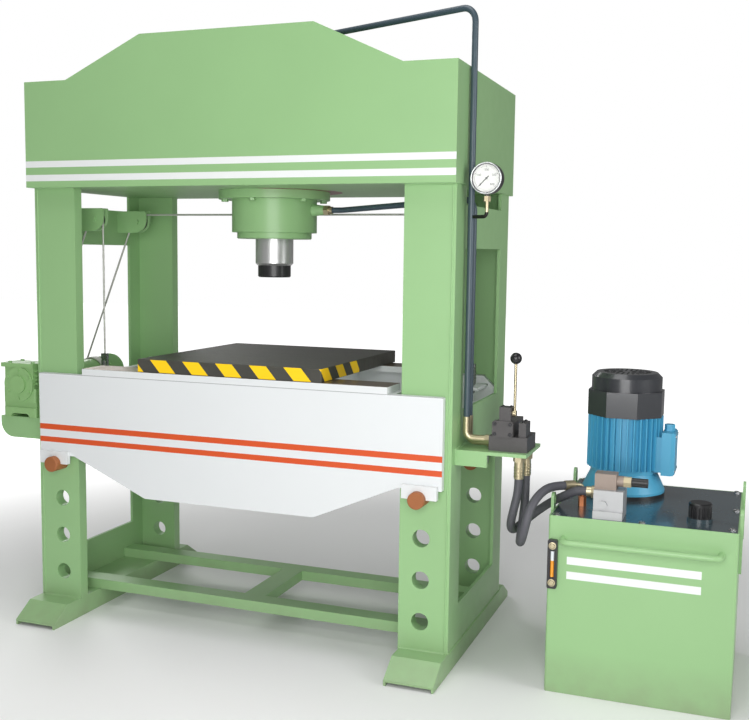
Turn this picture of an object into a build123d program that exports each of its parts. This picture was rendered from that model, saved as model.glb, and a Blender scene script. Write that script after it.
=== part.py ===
from build123d import *
from math import acos, atan2, cos, degrees, pi, radians, sin, tan
import os

# Hydraulic frame press with a lifting table and a power pack beside it.
# Millimetres, +Z up, front towards -Y. The origin is on the floor, at the middle of the whole.

# Head: two heavy plates with a floor, end plates and stiffeners between them
head_length = 1730
head_depth = 830
head_plate = 40
head_bottom_z = 1705
head_end_height = 400
head_shoulder = 190
ridge_rise = 150
ridge_length = 696
head_floor = 40
head_end_plate = 12
stiffener_plate = 25
stiffener_gap = 32
stiffener_drop = 60

# Side frames: two uprights joined by an outer web with windows, on a folded foot
frame_inset = 7
upright_width = 185
upright_thickness = 45
web_thickness = 12
web_strip = 123
upper_tie_drop = 65
upper_tie_height = 150
middle_tie_z = 740
middle_tie_height = 182
lower_tie_top_z = 222
window_corner = 3
foot_height = 75
foot_plate = 8
foot_length = 1080
foot_slope = 85
foot_lip = 20
foot_inset = 6
base_bar_width = 75
base_bar_height = 40
front_bar_y = -240
rear_bar_y = 182
cross_tie_width = 90

# Locking pins and their holes
pin_diameter = 60
pin_hole_diameter = 63
pin_hole_inset = 80
pin_hole_first_z = 180
pin_hole_pitch = 150
pin_rows = 4
pin_stickout = 45
pin_tail = 15
pin_seat_gap = 0.3
pin_chamfer = 3

# Lifting table
table_end_inset = 32
table_plate = 25
table_top_z = 984
table_belly_z = 521
table_belly_length = 704
table_gap = 3
table_corner = 45
saddle_inset = 20
saddle_length = 128
saddle_lap = 18
saddle_thickness = 20
rail_width = 134
rail_thickness = 25
rail_end_gap = 43
rear_rail_overhang = 38
rib_thickness = 25
rib_outer_inset = 33
rib_inner_x = 230
rib_outer_z = 700
rib_inner_z = 570
bolster_length = 760
bolster_depth = 790
bolster_height = 50
bolster_front_y = -400
bolster_chamfer = 2

# Cylinder and ram
barrel_diameter = 336
barrel_wall = 53
rod_step = 40
running_gap = 0.06
flange_width = 52
flange_thickness = 32
flange_bolt_count = 6
flange_bolt_edge = 25
flange_bolt_diameter = 16
flange_bolt_head = 24
flange_bolt_head_height = 10
bolt_hole_gap = 1
barrel_below_flange = 128
barrel_above_head = 475
barrel_cap = 40
gland_step = 20.5
gland_thickness = 25
gland_spigot = 70
gland_chamfer = 3
piston_thickness = 80
piston_top_gap = 20
rod_stickout = 104
nose_diameter = 130
nose_length = 47
nose_chamfer = 4
rod_chamfer = 8
port_boss_diameter = 36
port_boss_root = 50
port_boss_length = 48
port_bore = 14
port_boss_sink = 10
side_port_above_barrel_end = 88
cap_port_x = 100
cap_port_length = 30

# Lifting winch, ropes and pulleys
winch_out = 124
winch_z = 921
drum_diameter = 120
drum_front_y = -175
drum_back_y = 215
drum_flange_diameter = 130
drum_flange = 8
winch_shaft_diameter = 30
bearing_plate_y = 280
bearing_plate_radius = 72
bearing_plate_thickness = 12
gearbox_width = 158
gearbox_waist = 142
gearbox_depth = 125
gearbox_front_y = -340
gearbox_bottom_z = 786
gearbox_shoulder_z = 904
gearbox_top_z = 990
gearbox_lid = 17
gearbox_lid_shift = 7
gearbox_ribs = 4
gearbox_rib = 6
gearbox_corner = 8
gearbox_lid_edge = 5
gearbox_foot_gap = 90
gearbox_groove_z = 836
gearbox_groove = 20
gearbox_cover_diameter = 140
gearbox_cover_thickness = 6
gearbox_boss_diameter = 72
gearbox_boss_height = 8
worm_drop = 50
worm_shaft_diameter = 20
worm_flange_diameter = 80
worm_flange_reach = 12
worm_shaft_reach = 8
worm_shoulder = 4
worm_square = 13
worm_bore_depth = 100
output_boss = 8
output_boss_wall = 14
output_bore_depth = 50
bracket_plate = 12
bracket_reach = 227
bracket_front_y = -330
bracket_back_y = -100
bracket_skirt = 86
bracket_corner = 60
rope_diameter = 8
rope_turns = 5
rope_pitch = 8.6
pulley_diameter = 70
pulley_width = 20
pulley_bolt_diameter = 12
rope_seat_gap = 0.3
pulley_in = 101
pulley_z = 1592
front_pulley_y = -133
rear_pulley_y = 178
cheek_plate = 8
cheek_gap = 1
cheek_top_z = 1638
cheek_bottom_z = 1545
cheek_reach = 146
cheek_round = 55
lug_z = 940
lug_thickness = 12
lug_width = 64
clip_height = 22
clip_width = 26
clip_depth = 18
eye_height = 68
thimble_radius = 14

# Pipes and pressure gauge
pipe_diameter = 22
pipe_out = 22
cap_pipe_y = -270
rod_pipe_y = -235
pipe_top_z = 2300
pipe_bend = 50
pipe_corner = 40
pipe_fall = 15
rod_pipe_z = 1660
pipe_lead = 40
pipe_foot_z = 905
nut_across = 30
nut_length = 20
port_nut_across = 36
collar_diameter = 28
collar_length = 14
elbow_diameter = 26
elbow_bend = 24
elbow_step = 8
gauge_diameter = 106
gauge_depth = 42
gauge_bezel = 6
gauge_z = 1724
gauge_out = 85
gauge_y = -305
gauge_tap_z = 1597
gauge_stem_diameter = 12
gauge_stem_bend = 15
gauge_stem_length = 6
gauge_nut_across = 22
gauge_nut_drop = 24
dial_recess = 8
glass_thickness = 3
needle_length = 36
needle_width = 3
needle_angle = 225
needle_hub_diameter = 8
needle_spindle_diameter = 3
needle_spindle_depth = 3

# Hand valve on its shelf
shelf_length = 249
shelf_depth = 240
shelf_plate = 12
shelf_front_y = -330
shelf_top_z = 796
shelf_skirt = 55
shelf_skirt_length = 112
manifold_out = 110
manifold_length = 134
manifold_depth = 140
manifold_height = 52
manifold_front_y = -300
blank_width = 25
blank_depth = 70
blank_height = 50
blank_edge = 6
valve_in = 51
valve_set_back = 4
pivot_set_back = 12
valve_width = 66
valve_height = 50
valve_length = 160
valve_cap_length = 22
valve_cap_height = 57
valve_cap_edge = 3
valve_cap_chamfer = 6
spool_diameter = 22
spool_length = 120
spool_end_wall = 10
spool_neck_step = 4
spool_lands = 5
pivot_shift = 7
pivot_block_width = 40
pivot_block_depth = 30
pivot_block_height = 47
pivot_pin_diameter = 12
lever_diameter = 10
lever_length = 190
lever_hub_diameter = 22
lever_hub_length = 13
knob_diameter = 40

# Hoses
hose_diameter = 30
hose_fitting_across = 38
hose_fitting_length = 84
hose_fitting_short = 34
hose_a_in = 102
hose_b_in = 112
hose_b_back = 100
hose_lead = 45
hose_end_lead = 32
ferrule_wall = 2
swivel_length = 24
port_swivel_length = 18

# Tank with motor and pump
tank_gap = 332
tank_front_y = -368
tank_length = 600
tank_depth = 620
tank_height = 600
tank_wall = 5
tank_corner = 8
cover_plate = 8
cover_gap = 0.5
cover_ledge = 16
lug_bar_width = 38
lug_bar_thickness = 10
lug_hole_radius = 13
lug_bar_bottom_z = 455
lug_bar_top_z = 664
lug_bar_front_y = -264
lug_bar_rear_y = 180
rail_bar_diameter = 20
rail_bar_inset = 50
rail_bar_standoff = 52
rail_bar_bend = 25
rail_bar_z = 534
level_width = 32
level_height = 166
level_depth = 18
level_corner = 6
level_bolt_rise = 63
level_bolt_across = 16
level_z = 446
level_x = 18
filler_in = 126
filler_y = 123
filler_neck_diameter = 82
filler_neck_height = 12
filler_cap_diameter = 74
filler_cap_height = 50
filler_cap_crown = 12
filler_flutes = 20
filler_flute_radius = 2.5
filler_spigot_step = 12
motor_x = 186
motor_y = 448
bell_height = 85
bell_flange_diameter = 294
bell_flange_height = 22
bell_top_diameter = 235
bell_bore_gap = 15
motor_seat_diameter = 240
motor_seat_height = 14
motor_body_diameter = 234
motor_body_height = 217
fin_reach = 17
fin_thickness = 4
fin_count = 36
cowl_lap = 12
cowl_diameter = 250
cowl_skirt_height = 91
cowl_skirt_across = 259
cowl_height = 64
cowl_chamfer = 16
cowl_crown = 18
cowl_wall = 2.5
motor_shaft_diameter = 38
fan_diameter = 220
fan_height = 35
fan_hub_diameter = 70
fan_hub_height = 5
fan_rise = 20
fan_blades = 6
terminal_gap = 2
terminal_width = 130
terminal_height = 154
terminal_depth = 42
terminal_chamfer = 10
terminal_seat_width = 116
terminal_seat_height = 128
terminal_seat_rise = 9
terminal_seat_sink = 6
terminal_gland_across = 32
terminal_gland_height = 24
coupling_diameter = 70
coupling_rise = 20
block_x = 141
block_y = 13
block_length = 96
block_depth = 110
block_height = 94
block_port_y = 89
block_port_z = 70
relief_size = 56
relief_height = 52
relief_neck_diameter = 36
relief_neck_length = 22
relief_nut_length = 24
knob_spindle_diameter = 14
relief_knob_diameter = 30
relief_knob_length = 52
elbow_x = 81
elbow_y = 175
elbow_height = 74
elbow_turn = 35
elbow_reach = 30
elbow_nut = 34
elbow_nut_across = 24
return_tube_diameter = 16
ferrule_length = 37

# Places worked out from the sizes above
frame_half_x = head_length / 2 - frame_inset
bore_diameter = barrel_diameter - 2 * barrel_wall
rod_diameter = bore_diameter - 2 * rod_step
flange_diameter = barrel_diameter + 2 * flange_width
bolt_circle_diameter = flange_diameter - 2 * flange_bolt_edge
gland_diameter = barrel_diameter - 2 * gland_step
stiffener_x = barrel_diameter / 2 + stiffener_gap
web_inner_x = frame_half_x - web_thickness
upright_inner_x = frame_half_x - upright_width
frame_half_y = head_depth / 2 - head_plate
window_half_y = frame_half_y - web_strip
head_end_top_z = head_bottom_z + head_end_height
ridge_z = head_end_top_z + ridge_rise
pin_x = upright_inner_x + pin_hole_inset
pin_hole_heights = [pin_hole_first_z + row * pin_hole_pitch for row in range(pin_rows)]
pin_z = pin_hole_heights[-1] - (pin_hole_diameter - pin_diameter) / 2 + pin_seat_gap
table_length = head_length - 2 * table_end_inset
table_end_z = pin_z + pin_diameter / 2 + pin_seat_gap
rib_outer_x = upright_inner_x - rib_outer_inset
front_plate_y = -frame_half_y - table_gap - table_plate
rear_upright_y = frame_half_y - upright_thickness
rear_plate_y = rear_upright_y - table_gap - table_plate
rail_top_z = table_top_z + rail_thickness
barrel_end_z = head_bottom_z - flange_thickness - barrel_below_flange
barrel_top_z = head_bottom_z + barrel_above_head
gland_z = barrel_end_z - gland_thickness
rod_end_z = gland_z - rod_stickout
piston_top_z = barrel_top_z - barrel_cap - piston_top_gap
side_port_z = barrel_end_z + side_port_above_barrel_end
side_boss_end_x = barrel_diameter / 2 + port_boss_length
cap_boss_end_z = barrel_top_z + cap_port_length
winch_x = -frame_half_x - winch_out
rope_radius = rope_diameter / 2
drum_rope_radius = drum_diameter / 2 + rope_seat_gap + rope_radius
pulley_rope_radius = pulley_diameter / 2 - rope_radius
pulley_x = web_inner_x - pulley_in
pipe_x = frame_half_x + pipe_out
gauge_x = frame_half_x + gauge_out
manifold_x = frame_half_x + manifold_out
valve_x = manifold_x + valve_in
pivot_x = valve_x + pivot_shift
valve_z = shelf_top_z + manifold_height
cover_top_z = tank_height + cover_plate
tank_x = head_length / 2 + tank_gap
tank_end_x = tank_x + tank_length
motor_axis = (tank_x + motor_x, tank_front_y + motor_y)
block_corner = (tank_x + block_x, tank_front_y + block_y)
worm_z = winch_z - worm_drop

# The press stands left of the origin, so that the whole is centred on it
reach_left = -winch_x + gearbox_width / 2 + worm_flange_reach + worm_shaft_reach
reach_right = tank_end_x + lug_bar_thickness
press_x = (reach_left - reach_right) / 2


def front(y):
    """Drawing plane seen from the front: x to the right, z up, extruding towards the viewer."""
    return Plane((press_x, y, 0), x_dir=(1, 0, 0), z_dir=(0, -1, 0))


def side(x):
    """Drawing plane seen from the right: y to the right, z up, extruding towards +X."""
    return Plane((press_x + x, 0, 0), x_dir=(0, 1, 0), z_dir=(1, 0, 0))


def level(z):
    """Drawing plane seen from above, extruding upwards."""
    return Plane((press_x, 0, z), x_dir=(1, 0, 0), z_dir=(0, 0, 1))


def turned(x, y):
    """Half-section plane of a piece turned about the upright line through x, y."""
    return Plane((press_x + x, y, 0), x_dir=(1, 0, 0), z_dir=(0, -1, 0))


def axis_up(x, y):
    """Upright axis through x, y."""
    return Axis((press_x + x, y, 0), (0, 0, 1))


def box_between(low, high):
    """Rectangular bar from its low corner to its high corner, in the press's own x."""
    with Locations((press_x + (low[0] + high[0]) / 2, (low[1] + high[1]) / 2, (low[2] + high[2]) / 2)):
        Box(high[0] - low[0], high[1] - low[1], high[2] - low[2])


def save(piece, name):
    """Label the finished piece and write it."""
    piece.part.label = name
    export_step(piece.part, f"parts/{name}.step")


def bend_radii(points):
    """Arc at each inner point of a hose's route, as large as its two runs allow."""
    radii = []
    for before, here, after in zip(points, points[1:], points[2:]):
        run_in = Vector(*here) - Vector(*before)
        run_out = Vector(*after) - Vector(*here)
        half_turn = radians(run_in.get_angle(run_out)) / 2
        radii.append(0.45 * min(run_in.length, run_out.length) / tan(half_turn))
    return radii


def tube(points, radii, diameter):
    """Round tube along straight runs joined by tangent arcs."""
    places = [(press_x + x, y, z) for x, y, z in points]
    with BuildLine() as route:
        if len(places) > 2:
            FilletPolyline(*places, radius=radii)
        else:
            Line(*places)
    with BuildSketch(Plane(route.line @ 0, z_dir=route.line % 0)) as section:
        Circle(diameter / 2)
    sweep(sections=section.sketch, path=route.line)


os.makedirs("parts", exist_ok=True)

# Uprights with their rows of pin holes
upright_bar = upright_width - web_thickness
with BuildPart() as uprights:
    for face_y in (-frame_half_y, rear_upright_y):
        with BuildSketch(front(face_y)):
            for sign in (-1, 1):
                with Locations((sign * (upright_inner_x + upright_bar / 2), (foot_height + head_bottom_z) / 2)):
                    Rectangle(upright_bar, head_bottom_z - foot_height)
                with Locations(*[(sign * pin_x, height) for height in pin_hole_heights]):
                    Circle(pin_hole_diameter / 2, mode=Mode.SUBTRACT)
        extrude(amount=-upright_thickness)
save(uprights, "uprights")

# Side webs with two windows and a gap under the head
upper_tie_top_z = head_bottom_z - upper_tie_drop
upper_tie_bottom_z = upper_tie_top_z - upper_tie_height
middle_tie_top_z = middle_tie_z + middle_tie_height
window_spans = [
    (lower_tie_top_z, middle_tie_z),
    (middle_tie_top_z, upper_tie_bottom_z),
]
with BuildPart() as side_webs:
    for low_x in (-frame_half_x, web_inner_x):
        with BuildSketch(side(low_x)):
            with Locations((0, (foot_height + head_bottom_z) / 2)):
                Rectangle(2 * frame_half_y, head_bottom_z - foot_height)
            for low_z, high_z in window_spans:
                with Locations((0, (low_z + high_z) / 2)):
                    RectangleRounded(2 * window_half_y, high_z - low_z, window_corner, mode=Mode.SUBTRACT)
            with Locations((0, head_bottom_z - upper_tie_drop / 2)):
                Rectangle(2 * window_half_y, upper_tie_drop, mode=Mode.SUBTRACT)
        extrude(amount=web_thickness)
save(side_webs, "side_webs")

# Feet: folded channels, open below, with sloped toes
foot_half = foot_length / 2
foot_width = upright_width - foot_inset
with BuildPart() as feet:
    for low_x in (-frame_half_x, frame_half_x - foot_width):
        with BuildSketch(side(low_x)):
            Polygon(
                (-foot_half, 0),
                (foot_half, 0),
                (foot_half, foot_lip),
                (foot_half - foot_slope, foot_height),
                (-foot_half + foot_slope, foot_height),
                (-foot_half, foot_lip),
                align=None,
            )
        extrude(amount=foot_width)
    for low_x in (-frame_half_x, frame_half_x - foot_width):
        with BuildSketch(side(low_x + foot_plate)):
            Polygon(
                (-foot_half - foot_plate, 0),
                (foot_half + foot_plate, 0),
                (foot_half + foot_plate, foot_lip - 1.5 * foot_plate),
                (foot_half - foot_slope, foot_height - foot_plate),
                (-foot_half + foot_slope, foot_height - foot_plate),
                (-foot_half - foot_plate, foot_lip - 1.5 * foot_plate),
                align=None,
            )
        extrude(amount=foot_width - 2 * foot_plate, mode=Mode.SUBTRACT)
save(feet, "feet")

# Base bars across the feet and the tie between them
bar_top_z = foot_height + base_bar_height
with BuildPart() as base_ties:
    for bar_y in (front_bar_y, rear_bar_y):
        box_between((-web_inner_x, bar_y, foot_height), (web_inner_x, bar_y + base_bar_width, bar_top_z))
    box_between(
        (-cross_tie_width / 2, front_bar_y + base_bar_width, foot_height),
        (cross_tie_width / 2, rear_bar_y, bar_top_z),
    )
save(base_ties, "base_ties")


def head_outline():
    """Outline of a head plate: flat shoulders, slopes and a flat ridge."""
    return Polygon(
        (-head_length / 2, head_bottom_z),
        (head_length / 2, head_bottom_z),
        (head_length / 2, head_end_top_z),
        (head_length / 2 - head_shoulder, head_end_top_z),
        (ridge_length / 2, ridge_z),
        (-ridge_length / 2, ridge_z),
        (-head_length / 2 + head_shoulder, head_end_top_z),
        (-head_length / 2, head_end_top_z),
        align=None,
    )


# Head plates, front and rear
with BuildPart() as head_plates:
    for face_y in (-head_depth / 2, frame_half_y):
        with BuildSketch(front(face_y)):
            head_outline()
        extrude(amount=-head_plate)
save(head_plates, "head_plates")

# Head floor with the cylinder's seat and bolt holes
floor_half_x = head_length / 2 - head_end_plate
with BuildPart() as head_floor_plate:
    with BuildSketch(level(head_bottom_z)):
        Rectangle(2 * floor_half_x, 2 * frame_half_y)
        Circle((barrel_diameter + bolt_hole_gap) / 2, mode=Mode.SUBTRACT)
        with PolarLocations(bolt_circle_diameter / 2, flange_bolt_count, start_angle=-90):
            Circle((flange_bolt_diameter + bolt_hole_gap) / 2, mode=Mode.SUBTRACT)
    extrude(amount=head_floor)
save(head_floor_plate, "head_floor_plate")

# End plates and the two stiffeners beside the cylinder
with BuildPart() as head_stiffeners:
    for low_x in (-head_length / 2, floor_half_x):
        box_between(
            (low_x, -frame_half_y, head_bottom_z),
            (low_x + head_end_plate, frame_half_y, head_end_top_z),
        )
    for low_x in (-stiffener_x - stiffener_plate, stiffener_x):
        box_between(
            (low_x, -frame_half_y, head_bottom_z + head_floor),
            (low_x + stiffener_plate, frame_half_y, ridge_z - stiffener_drop),
        )
save(head_stiffeners, "head_stiffeners")

# Cylinder barrel with its flange, closed top and two ports
bore_radius = bore_diameter / 2 + running_gap
with BuildPart() as cylinder_barrel:
    with BuildSketch(turned(0, 0)):
        with BuildLine():
            Polyline(
                (0, barrel_top_z),
                (barrel_diameter / 2, barrel_top_z),
                (barrel_diameter / 2, head_bottom_z),
                (flange_diameter / 2, head_bottom_z),
                (flange_diameter / 2, head_bottom_z - flange_thickness),
                (barrel_diameter / 2, head_bottom_z - flange_thickness),
                (barrel_diameter / 2, barrel_end_z),
                (bore_radius, barrel_end_z),
                (bore_radius, barrel_top_z - barrel_cap),
                (0, barrel_top_z - barrel_cap),
                close=True,
            )
        make_face()
    revolve(axis=axis_up(0, 0))
    with BuildSketch(side(barrel_diameter / 2 - port_boss_sink)):
        with Locations((0, side_port_z)):
            Circle(port_boss_root / 2)
    with BuildSketch(side(side_boss_end_x)):
        with Locations((0, side_port_z)):
            Circle(port_boss_diameter / 2)
    loft()
    with BuildSketch(level(barrel_top_z)):
        with Locations((cap_port_x, 0)):
            Circle(port_boss_diameter / 2)
    extrude(amount=cap_port_length)
    with BuildSketch(side(bore_radius - port_boss_sink)):
        with Locations((0, side_port_z)):
            Circle(port_bore / 2)
    extrude(amount=side_boss_end_x - bore_radius + 2 * port_boss_sink, mode=Mode.SUBTRACT)
    with BuildSketch(level(barrel_top_z - barrel_cap - 1)):
        with Locations((cap_port_x, 0)):
            Circle(port_bore / 2)
    extrude(amount=barrel_cap + cap_port_length + 2, mode=Mode.SUBTRACT)
    with BuildSketch(level(head_bottom_z - flange_thickness)):
        with PolarLocations(bolt_circle_diameter / 2, flange_bolt_count, start_angle=-90):
            Circle((flange_bolt_diameter + bolt_hole_gap) / 2)
    extrude(amount=flange_thickness, mode=Mode.SUBTRACT)
save(cylinder_barrel, "cylinder_barrel")

# Gland: ring below the barrel with a spigot in its bore
with BuildPart() as cylinder_gland:
    with BuildSketch(level(gland_z)):
        Circle(gland_diameter / 2)
    extrude(amount=gland_thickness)
    with BuildSketch(level(barrel_end_z)):
        Circle(bore_diameter / 2)
    extrude(amount=gland_spigot)
    with BuildSketch(level(gland_z)):
        Circle(rod_diameter / 2 + running_gap)
    extrude(amount=gland_thickness + gland_spigot, mode=Mode.SUBTRACT)
    chamfer(cylinder_gland.faces().sort_by(Axis.Z)[0].edges().sort_by(SortBy.LENGTH)[-1], gland_chamfer)
save(cylinder_gland, "cylinder_gland")

# Six hexagon bolts through the flange
with BuildPart() as flange_bolts:
    with BuildSketch(level(head_bottom_z - flange_thickness - flange_bolt_head_height)):
        with PolarLocations(bolt_circle_diameter / 2, flange_bolt_count, start_angle=-90):
            RegularPolygon(flange_bolt_head / 2, 6, major_radius=False)
    extrude(amount=flange_bolt_head_height)
    with BuildSketch(level(head_bottom_z - flange_thickness)):
        with PolarLocations(bolt_circle_diameter / 2, flange_bolt_count, start_angle=-90):
            Circle(flange_bolt_diameter / 2)
    extrude(amount=flange_thickness + head_floor)
save(flange_bolts, "flange_bolts")

# Ram: piston and rod turned in one
with BuildPart() as ram:
    with BuildSketch(turned(0, 0)):
        with BuildLine():
            Polyline(
                (0, rod_end_z),
                (rod_diameter / 2 - rod_chamfer, rod_end_z),
                (rod_diameter / 2, rod_end_z + rod_chamfer),
                (rod_diameter / 2, piston_top_z - piston_thickness),
                (bore_diameter / 2, piston_top_z - piston_thickness),
                (bore_diameter / 2, piston_top_z),
                (0, piston_top_z),
                close=True,
            )
        make_face()
    revolve(axis=axis_up(0, 0))
save(ram, "ram")

# Pressing nose under the rod
with BuildPart() as ram_nose:
    with BuildSketch(level(rod_end_z - nose_length)):
        Circle(nose_diameter / 2)
    extrude(amount=nose_length)
    chamfer(ram_nose.faces().sort_by(Axis.Z)[0].edges(), nose_chamfer)
save(ram_nose, "ram_nose")


def table_outline(corner):
    """Outline of a table plate: straight ends, sloped belly and cut top corners."""
    half = table_length / 2
    end_flat_x = upright_inner_x
    return Polygon(
        (-half, table_end_z),
        (-end_flat_x, table_end_z),
        (-table_belly_length / 2, table_belly_z),
        (table_belly_length / 2, table_belly_z),
        (end_flat_x, table_end_z),
        (half, table_end_z),
        (half, table_top_z - corner),
        (half - corner, table_top_z),
        (-half + corner, table_top_z),
        (-half, table_top_z - corner),
        align=None,
    )


# Table plates: the front one outside the uprights, the rear one inside them
for face_y, corner, name in (
    (front_plate_y, 4, "table_front_plate"),
    (rear_plate_y, table_corner, "table_rear_plate"),
):
    with BuildPart() as table_plate_piece:
        with BuildSketch(front(face_y)):
            table_outline(corner)
        extrude(amount=-table_plate)
    save(table_plate_piece, name)

# Saddles lapped on the plates' faces, notched to sit on the pins
saddle_low_x = upright_inner_x + saddle_inset
saddle_height = table_end_z + saddle_lap - pin_z
with BuildPart() as table_saddles:
    for face_y in (front_plate_y, rear_plate_y):
        with BuildSketch(front(face_y)):
            for sign in (-1, 1):
                with Locations((sign * (saddle_low_x + saddle_length / 2), pin_z + saddle_height / 2)):
                    Rectangle(saddle_length, saddle_height)
                with Locations((sign * pin_x, pin_z)):
                    Circle(pin_diameter / 2 + pin_seat_gap, mode=Mode.SUBTRACT)
        extrude(amount=saddle_thickness)
save(table_saddles, "table_saddles")

# Rails: flat bars on the plates' top edges, between the uprights
rail_half_x = upright_inner_x - rail_end_gap
rear_rail_y = rear_plate_y + table_plate + rear_rail_overhang - rail_width
with BuildPart() as table_rails:
    for rail_y in (front_plate_y, rear_rail_y):
        box_between((-rail_half_x, rail_y, table_top_z), (rail_half_x, rail_y + rail_width, rail_top_z))
save(table_rails, "table_rails")

# Ribs between the table plates, and the lugs that the ropes pull on
rib_front_y = front_plate_y + table_plate
clip_places = [(-pulley_x + pulley_rope_radius, front_pulley_y), (pulley_x + pulley_rope_radius, rear_pulley_y)]
with BuildPart() as table_ribs:
    for middle_x, low_z in (
        (-rib_outer_x, rib_outer_z),
        (-rib_inner_x, rib_inner_z),
        (rib_inner_x, rib_inner_z),
        (rib_outer_x, rib_outer_z),
    ):
        box_between(
            (middle_x - rib_thickness / 2, rib_front_y, low_z),
            (middle_x + rib_thickness / 2, rear_plate_y, table_top_z),
        )
    left_clip_x, left_clip_y = clip_places[0]
    with BuildSketch(level(lug_z)):
        lug_end_x = -rib_outer_x - rib_thickness / 2
        with Locations(((left_clip_x - lug_width / 2 + lug_end_x) / 2, left_clip_y)):
            Rectangle(lug_end_x - left_clip_x + lug_width / 2, lug_width)
        with Locations((left_clip_x, left_clip_y)):
            Circle(7, mode=Mode.SUBTRACT)
    extrude(amount=lug_thickness)
    right_clip_x, right_clip_y = clip_places[1]
    with BuildSketch(level(lug_z)):
        with Locations((right_clip_x, (right_clip_y - lug_width / 2 + rear_plate_y) / 2)):
            Rectangle(lug_width, rear_plate_y - right_clip_y + lug_width / 2)
        with Locations((right_clip_x, right_clip_y)):
            Circle(7, mode=Mode.SUBTRACT)
    extrude(amount=lug_thickness)
save(table_ribs, "table_ribs")

# Rope clips: eye bolt through the lug, thimble ring and clip block
clip_top_z = lug_z + lug_thickness + eye_height + clip_height
with BuildPart() as rope_clips:
    for clip_x, clip_y in clip_places:
        with BuildSketch(level(lug_z - 14)):
            with Locations((clip_x, clip_y)):
                RegularPolygon(10, 6, major_radius=False)
        extrude(amount=14)
        with BuildSketch(level(lug_z)):
            with Locations((clip_x, clip_y)):
                Circle(6)
        extrude(amount=lug_thickness)
        with BuildSketch(front(clip_y + 6)):
            with Locations((clip_x, lug_z + lug_thickness + eye_height / 2 + 2)):
                SlotOverall(eye_height + 4, 2 * thimble_radius, rotation=90)
                SlotOverall(eye_height - 16, 2 * thimble_radius - 16, rotation=90, mode=Mode.SUBTRACT)
        extrude(amount=12)
        box_between(
            (clip_x - clip_width / 2, clip_y - clip_depth / 2, clip_top_z - clip_height),
            (clip_x + clip_width / 2, clip_y + clip_depth / 2, clip_top_z),
        )
save(rope_clips, "rope_clips")

# Bolster plate, loose on the rails
with BuildPart() as bolster_plate:
    box_between(
        (-bolster_length / 2, bolster_front_y, rail_top_z),
        (bolster_length / 2, bolster_front_y + bolster_depth, rail_top_z + bolster_height),
    )
    chamfer(bolster_plate.edges(), bolster_chamfer)
save(bolster_plate, "bolster_plate")

# Locking pins: the front ones come out forwards, the rear ones backwards
front_pin_span = (front_plate_y - pin_stickout, -frame_half_y + upright_thickness + pin_tail)
rear_pin_span = (rear_plate_y - pin_stickout, frame_half_y + pin_tail)
for sign, hand in ((-1, "left"), (1, "right")):
    for span, place in ((front_pin_span, "front"), (rear_pin_span, "rear")):
        with BuildPart() as pin:
            with BuildSketch(front(span[0])):
                with Locations((sign * pin_x, pin_z)):
                    Circle(pin_diameter / 2)
            extrude(amount=span[0] - span[1])
            chamfer(pin.edges().filter_by(GeomType.CIRCLE), pin_chamfer)
        save(pin, f"{hand}_{place}_pin")

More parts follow.
